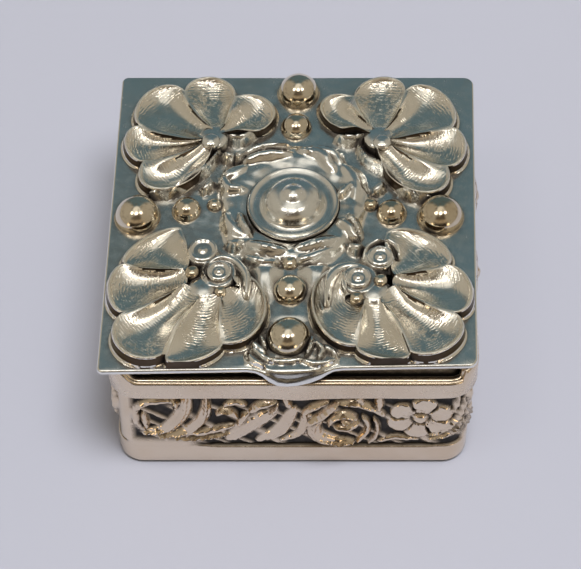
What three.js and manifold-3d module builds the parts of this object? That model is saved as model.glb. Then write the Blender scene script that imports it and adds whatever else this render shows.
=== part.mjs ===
// A square silver trinket box with an embossed lid on a five-knuckle hinge.
// Millimetres, +Z up. The origin is the middle of the underside, the front faces -Y, the hinge is at +Y.

import * as THREE from 'three';
import { mergeVertices } from 'three/addons/utils/BufferGeometryUtils.js';
import Module from 'manifold-3d';

const wasm = await Module();
wasm.setup();

// Body sizes
const rimWidth = 31.5;
const rimDepth = 31.0;
const rimThickness = 0.4;
const rimHeight = 3.4;
const rimEdgeRound = 0.2;
const rimCornerRadius = 2.6;
const bodyHeight = 14.15;
const wallThickness = 0.55;
const baseThickness = 0.6;
const baseBandHeight = 2.4;
const bottomRound = 0.5;
const fieldRecess = 0.25;
const fieldBevel = 0.2;

// Thumb recess in the front edge
const recessDepth = 1.15;
const recessPost = 1.1;
const recessRampLeft = 1.4;
const recessRampRight = 0.3;

// Lid sizes
const lidWidth = 32.0;
const lidDepth = 32.0;
const lidThickness = 0.55;
const lidCornerRadius = 1.1;
const lidBackOverhang = 1.5;
const lidShear = 0.03;
const lidFrontSlope = 0.02;
const tabReach = 1.1;
const tabLeft = 3.4;
const tabRight = 4.6;
// Bends of the tab's outline, as shares of its half width and reach
const tabLeftRoot = [0.7, 0.1];
const tabRightRoot = [0.7, 0.3];
const tabTip = [0.6, 1];
const flangeDepth = 1.7;
const flangeThickness = 0.45;

// Embossing on the lid, as heights over the plate and places from its middle
const shellRootRadius = 0.9;
const shellRootHeight = 0.9;
const shellRidgeHeight = 1.35;
const shellLipHeight = 1.05;
const shellScoop = 0.78;
const hollowScoop = 0.6;
const shellFlare = 0.2;
const knobRadius = 1.1;
const knobLift = 0.6;
const voluteHeight = 1.5;
const voluteRim = 0.3;
const voluteDish = 0.35;
const voluteDraft = 0.15;
const bossCentreY = 0.9;
const bossCapRadius = 1.0;
const bossCapHeight = 2.7;
const bossDomeRadius = 2.75;
const bossDomeHeight = 2.25;
const bossDishRadius = 3.1;
const bossDishHeight = 0.95;
const bossRimRadius = 3.95;
const bossRimWidth = 0.6;
const bossRimHeight = 1.55;
const bossRimRound = 0.15;
const collarRadius = 6.6;
const collarSlope = 0.8;
const collarHeight = 0.7;

// A shell on the lid's left side: its root, the outer ends of its ridges, the bends that draw the
// ridges out, and the far points of its lobes. The right side has its mirror image.
const frontShell = {
  root: [-7.35, -7.8],
  tips: [[-8.9, -2.2], [-13.7, -5.9], [-13.9, -10.9], [-10.2, -15.0], [-5.6, -14.0], [-4.3, -6.4]],
  bends: [[-8.2, -4.4], [-11.5, -7.3], [-11.1, -10.7], [-9.4, -12.0], [-6.2, -12.3], [-5.3, -7.1]],
  crowns: [[-12.6, -3.2], [-15.4, -8.4], [-14.0, -14.4], [-8.0, -15.7], [-2.1, -10.8]],
};
const backShell = {
  root: [-7.4, 8.1],
  tips: [[-3.7, 9.0], [-5.4, 12.8], [-9.9, 13.4], [-13.9, 9.4], [-13.4, 5.1], [-7.9, 4.8]],
  bends: [[-5.3, 8.7], [-5.3, 11.0], [-9.6, 10.5], [-11.1, 7.6], [-11.2, 4.5], [-7.3, 6.0]],
  crowns: [[-2.3, 12.0], [-7.6, 14.9], [-13.2, 13.1], [-15.0, 7.1], [-11.8, 2.1]],
};

// Domed beads: x, y, radius
const beads = [
  [0.1, 14.0, 1.85],
  [0, 9.9, 1.4],
  [-13.6, 0.1, 1.95],
  [-9.3, 0.7, 1.25],
  [-6.9, 1.2, 0.7],
  [12.9, -0.2, 2.0],
  [8.6, 0.2, 1.3],
  [6.8, 1.1, 0.7],
  [0, -13.0, 1.9],
  [0, -8.1, 1.5],
  [-0.1, -5.2, 0.75],
];

// Curled ends of the front shells: x, y, radius
const volutes = [
  [-8.0, -4.6, 1.25],
  [-6.2, -6.8, 1.0],
  [7.3, -4.9, 1.3],
  [5.6, -7.6, 1.1],
];

// Folds of the wreath, the back shells' inner lips and the thumb tab: start, bend, end, width, height
const lidFolds = [
  [[-4.4, 5.6], [-2.9, 6.5], [-0.5, 6.4], 1.2, 1.25],
  [[-4.7, 6.3], [-3.0, 7.6], [-0.6, 7.5], 0.8, 1.0],
  [[0.4, 6.9], [2.6, 6.8], [3.4, 4.6], 1.2, 1.25],
  [[1.3, 7.3], [3.6, 7.2], [4.2, 5.3], 1.0, 1.05],
  [[4.3, 5.3], [5.8, 3.6], [5.4, 1.6], 1.5, 0.95],
  [[4.0, -0.9], [4.9, -1.6], [5.6, -2.9], 0.9, 1.15],
  [[0.4, -4.0], [2.0, -3.4], [3.9, -3.0], 1.2, 1.2],
  [[-3.9, -3.4], [-2.2, -3.8], [-0.5, -4.2], 1.2, 1.2],
  [[-5.9, 0.0], [-5.5, -1.6], [-4.2, -2.5], 1.2, 1.0],
  [[-6.3, 3.9], [-5.9, 2.2], [-4.4, 2.6], 1.1, 1.3],
  [[-6.3, 4.0], [-5.3, 4.7], [-4.3, 5.2], 1.3, 0.95],
  [[-12.6, 2.2], [-9.4, 2.2], [-6.7, 6.9], 0.8, 1.2],
  [[12.0, 1.6], [9.0, 2.4], [5.6, 7.5], 0.8, 1.2],
  [[-3.3, -13.4], [-2.4, -14.1], [-1.3, -15.5], 0.9, 0.75],
  [[2.2, -13.0], [2.7, -14.2], [2.6, -15.3], 0.9, 0.85],
  [[3.0, -13.9], [3.7, -14.3], [4.2, -15.1], 0.8, 0.65],
  [[-2.4, -15.6], [0.3, -16.6], [3.4, -15.6], 0.8, 0.4],
];

// Chased leaves on each wall: start, bend and end along and up the wall, width, height
const wallLeaves = [
  [[-11.4, 9.9], [-14.6, 8.6], [-12.8, 5.3], 1.3, 0.6],
  [[-12.9, 4.6], [-9.4, 6.6], [-9.1, 10.8], 1.9, 0.6],
  [[-11.2, 4.1], [-7.4, 5.4], [-7.2, 10.8], 1.5, 0.65],
  [[-5.7, 3.5], [-4.0, 6.8], [-1.4, 9.0], 2.6, 0.65],
  [[-3.0, 3.3], [-0.4, 5.2], [0.3, 9.4], 1.9, 0.6],
  [[1.0, 6.2], [2.4, 7.6], [3.8, 10.4], 1.2, 0.65],
  [[2.6, 7.8], [0.2, 2.8], [5.4, 3.6], 1.9, 0.7],
  [[2.9, 6.0], [3.7, 9.4], [5.7, 7.2], 1.3, 0.65],
  [[5.3, 3.5], [7.5, 5.6], [5.8, 8.4], 1.1, 0.6],
  [[-9.2, 4.5], [-7.2, 5.5], [-5.2, 6.1], 1.1, 0.55],
  [[-0.9, 3.6], [1.7, 5.2], [0.9, 8.2], 1.3, 0.55],
  [[3.9, 9.6], [6.2, 10.1], [7.9, 7.8], 1.05, 0.6],
];

// The open flower at the end of each wall, and the fuller one that swells the right wall
const flower = {
  centre: [11.0, 7.1], radius: 3.1, petals: 5, petalWidth: 2.6, height: 0.55, button: 0.7, turn: 23,
};
const fullFlower = {
  centre: [-0.5, 7.2], radius: 3.4, petals: 7, petalWidth: 2.4, height: 0.5, button: 0.9, turn: 0,
};
const swellRadius = 4.2;
const swellHeight = 1.0;
const petalStart = 0.4;
const buttonShare = 0.8;
// The walls are numbered anticlockwise from the front
const fullSide = 1;

// Leaves taper towards both ends and are sunk a little into what they lie on
const leafBluntness = 0.06;
const leafEndHeight = 0.55;
const leafSink = 0.05;
const leafRoot = 0.15;
const leafFullness = 4;

// Hinge sizes
const hingeLength = 26.0;
const knuckleCount = 5;
const knuckleRadius = 0.8;
const pinRadius = 0.35;
const hingeOpening = 0;

// Clearances
const seatGap = 0.02;
const runningGap = 0.05;
const flangeGap = 0.2;
const flangeBackGap = 0.35;

// Facets
const cornerSteps = 6;
const roundSides = 20;
const footSteps = 3;
const domeSteps = 4;
const beadFacets = [14, 4];
const hollowFacets = [10, 3];
const bossSides = 28;
const lobeSteps = 6;
const hollowLobeSteps = 4;
const shellRings = [0, 0.22, 0.45, 0.68, 0.88, 1];
const hollowRings = [0, 0.45, 0.8, 1];
const lidFoldRibs = [-1, -0.5, 0.5, 1];
const wallLeafRibs = [-1, 0, 1];
const leafStops = 4;
const swellRings = [0, 0.35, 0.7, 1];
const mergeDistance = 1e-4;

// Places worked out from the sizes
const wallHalfX = rimWidth / 2 - rimThickness;
const wallHalfY = rimDepth / 2 - rimThickness;
const wallCornerRadius = rimCornerRadius - rimThickness;
const innerHalfX = wallHalfX - wallThickness;
const innerHalfY = wallHalfY - wallThickness;
const innerCornerRadius = wallCornerRadius - wallThickness;
const recessLeft = -rimWidth / 2 + recessPost;
const recessRight = rimWidth / 2 - recessPost;
const lidUnderside = bodyHeight + runningGap;
const lidTop = lidUnderside + lidThickness;
const hingeY = rimDepth / 2;
const hingeZ = lidUnderside - runningGap - knuckleRadius;
const notchFloor = hingeZ - knuckleRadius - runningGap;
const lidCentreY = hingeY + lidBackOverhang - lidDepth / 2;

// Finishes
const silver = { color: 0xc9c3b6, roughness: 0.28, metalness: 1.0 };
const wornSilver = { color: 0xb3ab9c, roughness: 0.42, metalness: 1.0 };
const hingeSilver = { color: 0x9f988a, roughness: 0.38, metalness: 1.0 };


// Makes a closed solid from a geometry, with its faces pointing out, after moving its points.
function makeSolid(geometry, move = (point) => point) {
  const bare = geometry.clone();
  bare.deleteAttribute('normal');
  bare.deleteAttribute('uv');
  for (let i = 0; i < bare.attributes.position.count; i += 1) {
    const point = new THREE.Vector3().fromBufferAttribute(bare.attributes.position, i);
    bare.attributes.position.setXYZ(i, ...move(point));
  }
  const merged = mergeVertices(bare, mergeDistance);
  const points = merged.attributes.position.array;
  const corners = merged.index.array;
  const kept = [];
  let volume = 0;
  for (let i = 0; i < corners.length; i += 3) {
    const [a, b, c] = corners.slice(i, i + 3);
    if (a !== b && b !== c && c !== a) {
      kept.push(a, b, c);
      const p = new THREE.Vector3().fromArray(points, 3 * a);
      const q = new THREE.Vector3().fromArray(points, 3 * b);
      const r = new THREE.Vector3().fromArray(points, 3 * c);
      volume += p.dot(q.cross(r));
    }
  }
  if (volume < 0) {
    kept.reverse();
  }
  const mesh = new wasm.Mesh({ numProp: 3, vertProperties: points, triVerts: Uint32Array.from(kept) });
  return new wasm.Manifold(mesh);
}


// Turns a solid back into a geometry.
function geometryOf(solid) {
  const mesh = solid.getMesh();
  const geometry = new THREE.BufferGeometry();
  geometry.setAttribute('position', new THREE.BufferAttribute(Float32Array.from(mesh.vertProperties), 3));
  geometry.setIndex(new THREE.BufferAttribute(Uint32Array.from(mesh.triVerts), 1));
  geometry.computeVertexNormals();
  return geometry;
}


function geometryFrom(points, corners) {
  const geometry = new THREE.BufferGeometry();
  geometry.setAttribute('position', new THREE.Float32BufferAttribute(points.flatMap((p) => p.toArray()), 3));
  geometry.setIndex(corners);
  return geometry;
}


function joinAll(solids) {
  return solids.reduce((whole, solid) => whole.add(solid));
}


function named(name, geometry, finish) {
  const mesh = new THREE.Mesh(geometry, new THREE.MeshStandardMaterial(finish));
  mesh.name = name;
  return mesh;
}


function block(x0, x1, y0, y1, z0, z1) {
  const box = new THREE.BoxGeometry(x1 - x0, y1 - y0, z1 - z0);
  box.translate((x0 + x1) / 2, (y0 + y1) / 2, (z0 + z1) / 2);
  return makeSolid(box);
}


// A rod along X, centred on the origin.
function rod(radius, length) {
  const cylinder = new THREE.CylinderGeometry(radius, radius, length, roundSides);
  cylinder.rotateZ(Math.PI / 2);
  return makeSolid(cylinder);
}


// A solid turned about an upright axis from its profile of [radius, height] points.
function turned(profile, sides, x = 0, y = 0, move = undefined) {
  const lathe = new THREE.LatheGeometry(profile.map(([r, z]) => new THREE.Vector2(r, z)), sides);
  lathe.rotateX(Math.PI / 2);
  lathe.translate(x, y, 0);
  return makeSolid(lathe, move);
}


function roundedRectangle(halfX, frontY, backY, radius) {
  const shape = new THREE.Shape();
  shape.moveTo(-halfX + radius, frontY);
  shape.lineTo(halfX - radius, frontY);
  shape.absarc(halfX - radius, frontY + radius, radius, -Math.PI / 2, 0);
  shape.absarc(halfX - radius, backY - radius, radius, 0, Math.PI / 2);
  shape.absarc(-halfX + radius, backY - radius, radius, Math.PI / 2, Math.PI);
  shape.absarc(-halfX + radius, frontY + radius, radius, Math.PI, 1.5 * Math.PI);
  return shape;
}


function sheet(shape, bottom, thickness) {
  const plate = new THREE.ExtrudeGeometry(shape, {
    depth: thickness, bevelEnabled: false, curveSegments: cornerSteps,
  });
  plate.translate(0, 0, bottom);
  return makeSolid(plate);
}


// Stations round the side band's outer face, anticlockwise from above, with outward directions.
function wallStations() {
  const [halfX, halfY, radius] = [wallHalfX, wallHalfY, wallCornerRadius];
  const stations = [];
  const corners = [
    [halfX - radius, -halfY + radius, -0.5],
    [halfX - radius, halfY - radius, 0],
    [-halfX + radius, halfY - radius, 0.5],
    [-halfX + radius, -halfY + radius, 1],
  ];
  for (const [centreX, centreY, start] of corners) {
    for (let i = 0; i <= cornerSteps; i += 1) {
      const angle = Math.PI * (start + 0.5 * i / cornerSteps);
      const outX = Math.cos(angle);
      const outY = Math.sin(angle);
      stations.push({ x: centreX + radius * outX, y: centreY + radius * outY, outX, outY });
    }
  }
  return stations;
}


// A closed band round the walls, from its profile: a loop of [outward, height] points.
function wallBand(profile) {
  const stations = wallStations();
  const loopLength = profile.length;
  const points = [];
  const corners = [];
  stations.forEach((station, i) => {
    for (const [outward, height] of profile) {
      const x = station.x + outward * station.outX;
      const y = station.y + outward * station.outY;
      points.push(new THREE.Vector3(x, y, height));
    }
    const next = (i + 1) % stations.length;
    for (let j = 0; j < loopLength; j += 1) {
      const k = (j + 1) % loopLength;
      const [a, b] = [i * loopLength + j, i * loopLength + k];
      const [c, d] = [next * loopLength + k, next * loopLength + j];
      corners.push(a, d, c, a, c, b);
    }
  });
  return makeSolid(geometryFrom(points, corners));
}


// A closed solid between a grid of raised points and the level floor under it.
function relief(rows, floor, move = undefined) {
  const width = rows[0].length;
  const tops = rows.flat();
  const points = [...tops, ...tops.map((p) => new THREE.Vector3(p.x, p.y, floor))];
  const under = tops.length;
  const corners = [];
  for (let i = 0; i + 1 < rows.length; i += 1) {
    for (let j = 0; j + 1 < width; j += 1) {
      const a = i * width + j;
      const [b, c, d] = [a + 1, a + width + 1, a + width];
      corners.push(a, b, c, a, c, d);
      corners.push(under + a, under + c, under + b, under + a, under + d, under + c);
    }
  }
  const edge = [];
  for (let j = 0; j + 1 < width; j += 1) {
    edge.push(j);
  }
  for (let i = 0; i + 1 < rows.length; i += 1) {
    edge.push(i * width + width - 1);
  }
  for (let j = width - 1; j > 0; j -= 1) {
    edge.push((rows.length - 1) * width + j);
  }
  for (let i = rows.length - 1; i > 0; i -= 1) {
    edge.push(i * width);
  }
  edge.forEach((a, i) => {
    const b = edge[(i + 1) % edge.length];
    corners.push(a, under + b, b, a, under + a, under + b);
  });
  return makeSolid(geometryFrom(points, corners), move);
}


// The cut along the top of the back wall that the hinge tubes lie in.
function hingeNotch() {
  const half = hingeLength / 2 + runningGap;
  const inner = innerHalfY - flangeGap;
  return block(-half, half, inner, rimDepth / 2 + rimThickness, notchFloor, bodyHeight + rimThickness);
}


// The cut that lowers the front edge between its two corner posts.
function thumbRecess() {
  const floor = bodyHeight - recessDepth;
  const over = bodyHeight + rimThickness;
  const shape = new THREE.Shape();
  shape.moveTo(recessLeft, over);
  shape.lineTo(recessLeft, bodyHeight);
  shape.lineTo(recessLeft + recessRampLeft, floor);
  shape.lineTo(recessRight - recessRampRight, floor);
  shape.lineTo(recessRight, bodyHeight);
  shape.lineTo(recessRight, over);
  const wedge = new THREE.ExtrudeGeometry(shape, { depth: rimCornerRadius, bevelEnabled: false });
  wedge.rotateX(Math.PI / 2);
  wedge.translate(0, -rimDepth / 2 + rimCornerRadius - rimThickness / 2, 0);
  return makeSolid(wedge);
}


// The base: one flat sheet let into the side band, flush underneath.
function basePlate() {
  const halfX = innerHalfX - seatGap;
  const halfY = innerHalfY - seatGap;
  const shape = roundedRectangle(halfX, -halfY, halfY, innerCornerRadius - seatGap);
  return geometryOf(sheet(shape, 0, baseThickness));
}


// A leaf or fold that follows a curve, widest in the middle, with a crown across its ribs.
function leaf([start, bend, end, width, height], ribs, move = undefined) {
  const points = [start, bend, end].map(([x, y]) => new THREE.Vector2(x, y));
  const line = new THREE.QuadraticBezierCurve(...points);
  const rows = [];
  for (let i = 0; i < leafStops; i += 1) {
    const share = i / (leafStops - 1);
    const swell = Math.sin(Math.PI * THREE.MathUtils.lerp(leafBluntness, 1 - leafBluntness, share));
    const crest = height * THREE.MathUtils.lerp(leafEndHeight, 1, swell);
    const middle = line.getPoint(share);
    const along = line.getTangent(share);
    rows.push(ribs.map((side) => {
      const across = 0.5 * width * swell * side;
      const rise = crest * (1 - side ** leafFullness) - leafSink * side ** 2;
      return new THREE.Vector3(middle.x - across * along.y, middle.y + across * along.x, rise);
    }));
  }
  return relief(rows, -leafRoot, move);
}


// A domed button or bead, straight below its widest ring, down to a floor.
function dome(x, y, radius, lift, floor, [sides, rings], move = undefined) {
  const profile = [];
  for (let i = 0; i <= rings; i += 1) {
    const angle = 0.5 * Math.PI * i / rings;
    profile.push([radius * Math.sin(angle), lift + radius * Math.cos(angle)]);
  }
  profile.push([radius, floor], [0, floor]);
  return turned(profile, sides, x, y, move);
}


// An open flower of leaf-like petals round a domed button.
function openFlower({ centre, radius, petals, petalWidth, height, button, turn }, move) {
  const [x, y] = centre;
  const parts = [dome(x, y, button, height - buttonShare * button, -leafRoot, hollowFacets, move)];
  for (let i = 0; i < petals; i += 1) {
    const angle = THREE.MathUtils.degToRad(turn + 360 * i / petals);
    const reaches = [petalStart, radius / 2, radius];
    const stops = reaches.map((r) => [x + r * Math.cos(angle), y + r * Math.sin(angle)]);
    parts.push(leaf([...stops, petalWidth, height], wallLeafRibs, move));
  }
  return joinAll(parts);
}


// How far the full flower's wall swells out at a place on it.
function swellAt(along, up) {
  const [centreX, centreY] = fullFlower.centre;
  const distance = Math.hypot(along - centreX, up - centreY) / swellRadius;
  return swellHeight * Math.max(0, 1 - distance ** 2);
}


// Gives the move that bends flat work, drawn along, up and out of a wall, round the wall's corners.
// Opposite walls have the same work, and neighbouring walls have its mirror image.
function layOnWall(side, swells) {
  const odd = side % 2 === 1;
  const [halfLength, halfAcross] = odd ? [wallHalfY, wallHalfX] : [wallHalfX, wallHalfY];
  const straight = halfLength - wallCornerRadius;
  return ({ x: along, y: up, z: rise }) => {
    const swell = swells && rise > leafSink - leafRoot ? swellAt(along, up) : 0;
    const out = wallCornerRadius - fieldRecess + rise + swell;
    const turn = Math.max(0, Math.abs(along) - straight) / wallCornerRadius;
    const reach = Math.min(Math.abs(along), straight) + out * Math.sin(turn);
    const x = (odd ? -1 : 1) * Math.sign(along) * reach;
    const y = -(halfAcross - wallCornerRadius) - out * Math.cos(turn);
    return new THREE.Vector3(x, y, up).applyAxisAngle(new THREE.Vector3(0, 0, 1), 0.5 * Math.PI * side);
  };
}


// The swelling that carries the full flower, highest in its middle.
function flowerSwell(move) {
  const rows = swellRings.map((share) => [swellRadius * share, swellHeight * (1 - share ** 2)]);
  const profile = [...rows, [swellRadius, -leafRoot], [0, -leafRoot]];
  return turned(profile, roundSides, ...fullFlower.centre, move);
}


// The chased work of one wall, trimmed where the plain base band and the rim band begin.
function wallOrnament(side) {
  const full = side === fullSide;
  const move = layOnWall(side, full);
  const pieces = wallLeaves.map((spec) => leaf(spec, wallLeafRibs, move));
  pieces.push(openFlower(flower, move));
  if (full) {
    pieces.push(flowerSwell(layOnWall(side, false)), openFlower(fullFlower, move));
  }
  const reach = rimWidth;
  const field = block(-reach, reach, -reach, reach, baseBandHeight, bodyHeight - rimHeight - seatGap);
  return joinAll(pieces).intersect(field);
}


// The side band: one strip bent round, with a plain foot, a sunk and chased field and a plain top.
function sideBand() {
  const fieldBottom = baseBandHeight + fieldBevel;
  const fieldTop = bodyHeight - rimHeight - fieldBevel;
  const foot = [];
  for (let i = 0; i <= footSteps; i += 1) {
    const angle = 0.5 * Math.PI * i / footSteps;
    foot.push([-bottomRound * (1 - Math.sin(angle)), bottomRound * (1 - Math.cos(angle))]);
  }
  const profile = [
    ...foot,
    [0, baseBandHeight],
    [-fieldRecess, fieldBottom],
    [-fieldRecess, fieldTop],
    [0, bodyHeight - rimHeight],
    [0, bodyHeight],
    [-wallThickness, bodyHeight],
    [-wallThickness, 0],
  ];
  const band = wallBand(profile).subtract(thumbRecess()).subtract(hingeNotch());
  return geometryOf(joinAll([band, ...[0, 1, 2, 3].map(wallOrnament)]));
}


// The rim band: a plain strip applied round the top of the side band, across the tops of its flowers.
function rimBand() {
  const profile = [
    [rimThickness - rimEdgeRound, bodyHeight - rimHeight],
    [rimThickness, bodyHeight - rimHeight + rimEdgeRound],
    [rimThickness, bodyHeight - rimEdgeRound],
    [rimThickness - rimEdgeRound, bodyHeight],
    [seatGap, bodyHeight],
    [seatGap, bodyHeight - rimHeight],
  ];
  return geometryOf(wallBand(profile).subtract(thumbRecess()).subtract(hingeNotch()));
}


// The same shell on the lid's other side.
function mirrored(shell) {
  const flip = ([x, y]) => [-x, y];
  const { tips, bends, crowns } = shell;
  return { root: flip(shell.root), tips: tips.map(flip), bends: bends.map(flip), crowns: crowns.map(flip) };
}


// The ridges on both sides of a lobe and the lobe's own middle line, as curves out from the root.
function lobeCurves({ root, tips, bends, crowns }, lobe) {
  const middle = new THREE.Vector2(...root);
  const startTowards = (goal) => goal.clone().sub(middle).setLength(shellRootRadius).add(middle);
  const ridge = (index) => {
    const bend = new THREE.Vector2(...bends[index]);
    return new THREE.QuadraticBezierCurve(startTowards(bend), bend, new THREE.Vector2(...tips[index]));
  };
  const crown = new THREE.Vector2(...crowns[lobe]);
  return [ridge(lobe), ridge(lobe + 1), new THREE.LineCurve(startTowards(crown), crown)];
}


// A shell's height at a share of the way out from the root and at a bulge across a lobe.
function shellHeight(out, bulge, inset) {
  const rise = Math.sin(Math.PI * Math.min(out, 0.5));
  const crest = THREE.MathUtils.lerp(shellRootHeight, shellRidgeHeight, rise);
  const top = THREE.MathUtils.lerp(crest, shellLipHeight, THREE.MathUtils.smoothstep(out, 0.5, 1));
  const depth = inset > 0 ? THREE.MathUtils.lerp(hollowScoop, 1, bulge) : bulge;
  return top - shellScoop * Math.sin(Math.PI * out) * depth - inset;
}


// A scallop shell on the lid: lobes scooped hollow between sharp ridges that fan out from its root.
// The inset draws the whole form in, clear of its two ends too, for the hollow that the punch
// leaves on the underside.
function scallopShell(shell, inset) {
  const rings = inset > 0 ? hollowRings : shellRings;
  const steps = inset > 0 ? hollowLobeSteps : lobeSteps;
  const root = new THREE.Vector2(...shell.root);
  const rows = [];
  shell.crowns.forEach((_, lobe) => {
    const [left, right, axis] = lobeCurves(shell, lobe);
    const first = lobe > 0 || inset > 0 ? 1 : 0;
    const last = lobe === shell.crowns.length - 1 && inset > 0 ? steps - 1 : steps;
    for (let step = first; step <= last; step += 1) {
      const angle = Math.PI * step / steps;
      const bulge = Math.sin(angle);
      const row = rings.map((out) => {
        const [a, b] = [left.getPoint(out), right.getPoint(out)];
        const middle = a.clone().add(b).multiplyScalar(0.5);
        const place = middle.clone().add(b.sub(a).multiplyScalar(-0.5 * Math.cos(angle)));
        place.add(axis.getPoint(out).sub(middle).multiplyScalar(bulge));
        place.add(root.clone().sub(place).setLength(inset));
        return new THREE.Vector3(place.x, place.y, shellHeight(out, bulge, inset));
      });
      if (inset === 0) {
        const edge = new THREE.Vector2(row.at(-1).x, row.at(-1).y);
        edge.add(edge.clone().sub(root).setLength(shellFlare));
        row.push(new THREE.Vector3(edge.x, edge.y, 0));
      }
      rows.push(row);
    }
  });
  return relief(rows, -lidThickness - inset);
}


// A curled end of a shell: a round button with a raised rim and a dished middle.
function volute(x, y, radius) {
  const profile = [
    [0, -lidThickness / 2],
    [radius + voluteDraft, -lidThickness / 2],
    [radius, voluteHeight - voluteRim / 2],
    [radius - voluteRim / 2, voluteHeight],
    [radius - voluteRim, voluteHeight],
    [0, voluteHeight - voluteDish],
  ];
  return turned(profile, beadFacets[0], x, y);
}


// How high the boss's large dome stands at a distance from its middle.
function domeHeight(distance) {
  const rise = bossDomeHeight - bossDishHeight;
  return bossDishHeight + rise * Math.sqrt(1 - Math.min(1, distance / bossDomeRadius) ** 2);
}


// The boss: a small dome on a large one in a dished ring with a raised rim, on a low collar.
function boss() {
  const profile = [];
  const capFoot = domeHeight(bossCapRadius);
  for (let i = 0; i < domeSteps; i += 1) {
    const angle = 0.5 * Math.PI * i / domeSteps;
    profile.push([bossCapRadius * Math.sin(angle), capFoot + (bossCapHeight - capFoot) * Math.cos(angle)]);
  }
  const capEdge = Math.asin(bossCapRadius / bossDomeRadius);
  for (let i = 0; i <= domeSteps; i += 1) {
    const angle = THREE.MathUtils.lerp(capEdge, 0.5 * Math.PI, i / domeSteps);
    const distance = bossDomeRadius * Math.sin(angle);
    profile.push([distance, domeHeight(distance)]);
  }
  profile.push([bossDishRadius, bossDishHeight - bossRimRound]);
  profile.push([bossRimRadius - bossRimWidth / 2, bossRimHeight - bossRimRound]);
  profile.push([bossRimRadius, bossRimHeight]);
  profile.push([bossRimRadius + bossRimWidth / 2, bossRimHeight - bossRimRound]);
  profile.push([bossRimRadius + bossRimWidth, collarHeight]);
  profile.push([collarRadius - collarSlope, collarHeight]);
  profile.push([collarRadius, -lidThickness / 2]);
  profile.push([0, -lidThickness / 2]);
  return turned(profile, bossSides, 0, bossCentreY);
}


// The hollow that the punch leaves under the boss and its collar.
function bossHollow(inset) {
  const profile = [
    [0, bossDomeHeight - inset],
    [bossCapRadius, domeHeight(bossCapRadius) - inset],
    [bossDomeRadius - inset, bossDishHeight + inset / 2],
    [bossDomeRadius - inset / 2, collarHeight - inset],
    [collarRadius - collarSlope - inset, collarHeight - inset],
    [collarRadius - inset, -lidThickness - inset],
    [0, -lidThickness - inset],
  ];
  return turned(profile, bossSides, 0, bossCentreY);
}


// The lid's outline: a square with small round corners and a broad thumb tab at the front.
function lidOutline() {
  const [halfX, halfY, radius] = [lidWidth / 2, lidDepth / 2, lidCornerRadius];
  const shape = new THREE.Shape();
  const tip = -halfY - tabReach;
  const bend = (half, [across, out]) => [across * half, -halfY - out * tabReach];
  shape.moveTo(-halfX + radius, -halfY);
  shape.lineTo(-tabLeft, -halfY);
  shape.bezierCurveTo(...bend(-tabLeft, tabLeftRoot), ...bend(-tabLeft, tabTip), 0, tip);
  shape.bezierCurveTo(...bend(tabRight, tabTip), ...bend(tabRight, tabRightRoot), tabRight, -halfY);
  shape.lineTo(halfX - radius, -halfY);
  shape.absarc(halfX - radius, -halfY + radius, radius, -Math.PI / 2, 0);
  shape.absarc(halfX - radius, halfY - radius, radius, 0, Math.PI / 2);
  shape.absarc(-halfX + radius, halfY - radius, radius, Math.PI / 2, Math.PI);
  shape.absarc(-halfX + radius, -halfY + radius, radius, Math.PI, 1.5 * Math.PI);
  return shape;
}


// The lid was cut by hand and is a little out of square.
function outOfSquare(geometry) {
  const place = geometry.attributes.position;
  for (let i = 0; i < place.count; i += 1) {
    const [x, y] = [place.getX(i), place.getY(i)];
    const towardsFront = 0.5 - y / lidDepth;
    place.setXY(i, x + lidShear * y, y + lidFrontSlope * x * towardsFront);
  }
  return geometry;
}


// The lid plate: one sheet struck up into shells, beads, boss and wreath, and hollow underneath.
function lidPlate() {
  const floor = -lidThickness / 2;
  const raised = [sheet(lidOutline(), -lidThickness, lidThickness), boss()];
  const sunk = [bossHollow(lidThickness)];
  for (const shell of [frontShell, backShell, mirrored(frontShell), mirrored(backShell)]) {
    raised.push(scallopShell(shell, 0));
    raised.push(dome(...shell.root, knobRadius, knobLift, floor, beadFacets));
    sunk.push(scallopShell(shell, lidThickness));
  }
  for (const [x, y, radius] of beads) {
    const inner = radius - lidThickness;
    raised.push(dome(x, y, radius, 0, floor, beadFacets));
    if (inner > lidThickness) {
      sunk.push(dome(x, y, inner, 0, -2 * lidThickness, hollowFacets));
    }
  }
  for (const [x, y, radius] of volutes) {
    raised.push(volute(x, y, radius));
  }
  for (const fold of lidFolds) {
    raised.push(leaf(fold, lidFoldRibs));
  }
  const struck = joinAll(raised).subtract(joinAll(sunk));
  return outOfSquare(geometryOf(struck));
}


// The flange: a closing frame under the lid that drops inside the side band.
function lidFlange() {
  const halfX = innerHalfX - flangeGap;
  const front = -innerHalfY + flangeGap;
  const back = innerHalfY - flangeBackGap;
  const radius = innerCornerRadius - flangeGap;
  const wall = flangeThickness;
  const outline = roundedRectangle(halfX, front, back, radius);
  outline.holes.push(roundedRectangle(halfX - wall, front + wall, back - wall, radius - wall));
  return geometryOf(sheet(outline, lidUnderside - seatGap - flangeDepth, flangeDepth));
}


// A knuckle on the X axis, with a square foot that reaches to the piece that it is soldered to.
function knuckle(length, onLid) {
  const bore = rod(pinRadius + runningGap, 2 * length);
  const half = length / 2;
  const seat = knuckleRadius + runningGap - seatGap;
  const foot = onLid
    ? block(-half, half, -knuckleRadius, knuckleRadius / 2, 0, seat)
    : block(-half, half, -knuckleRadius, 0, -seat, 0);
  return geometryOf(rod(knuckleRadius, length).add(foot).subtract(bore));
}


const knuckleLength = (hingeLength - (knuckleCount - 1) * runningGap) / knuckleCount;
const knucklePlace = (index) => (index - (knuckleCount - 1) / 2) * (knuckleLength + runningGap);

const box = new THREE.Group();
box.name = 'trinket_box';
box.add(named('base_plate', basePlate(), wornSilver));
box.add(named('side_band', sideBand(), silver));
box.add(named('rim_band', rimBand(), silver));

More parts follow.
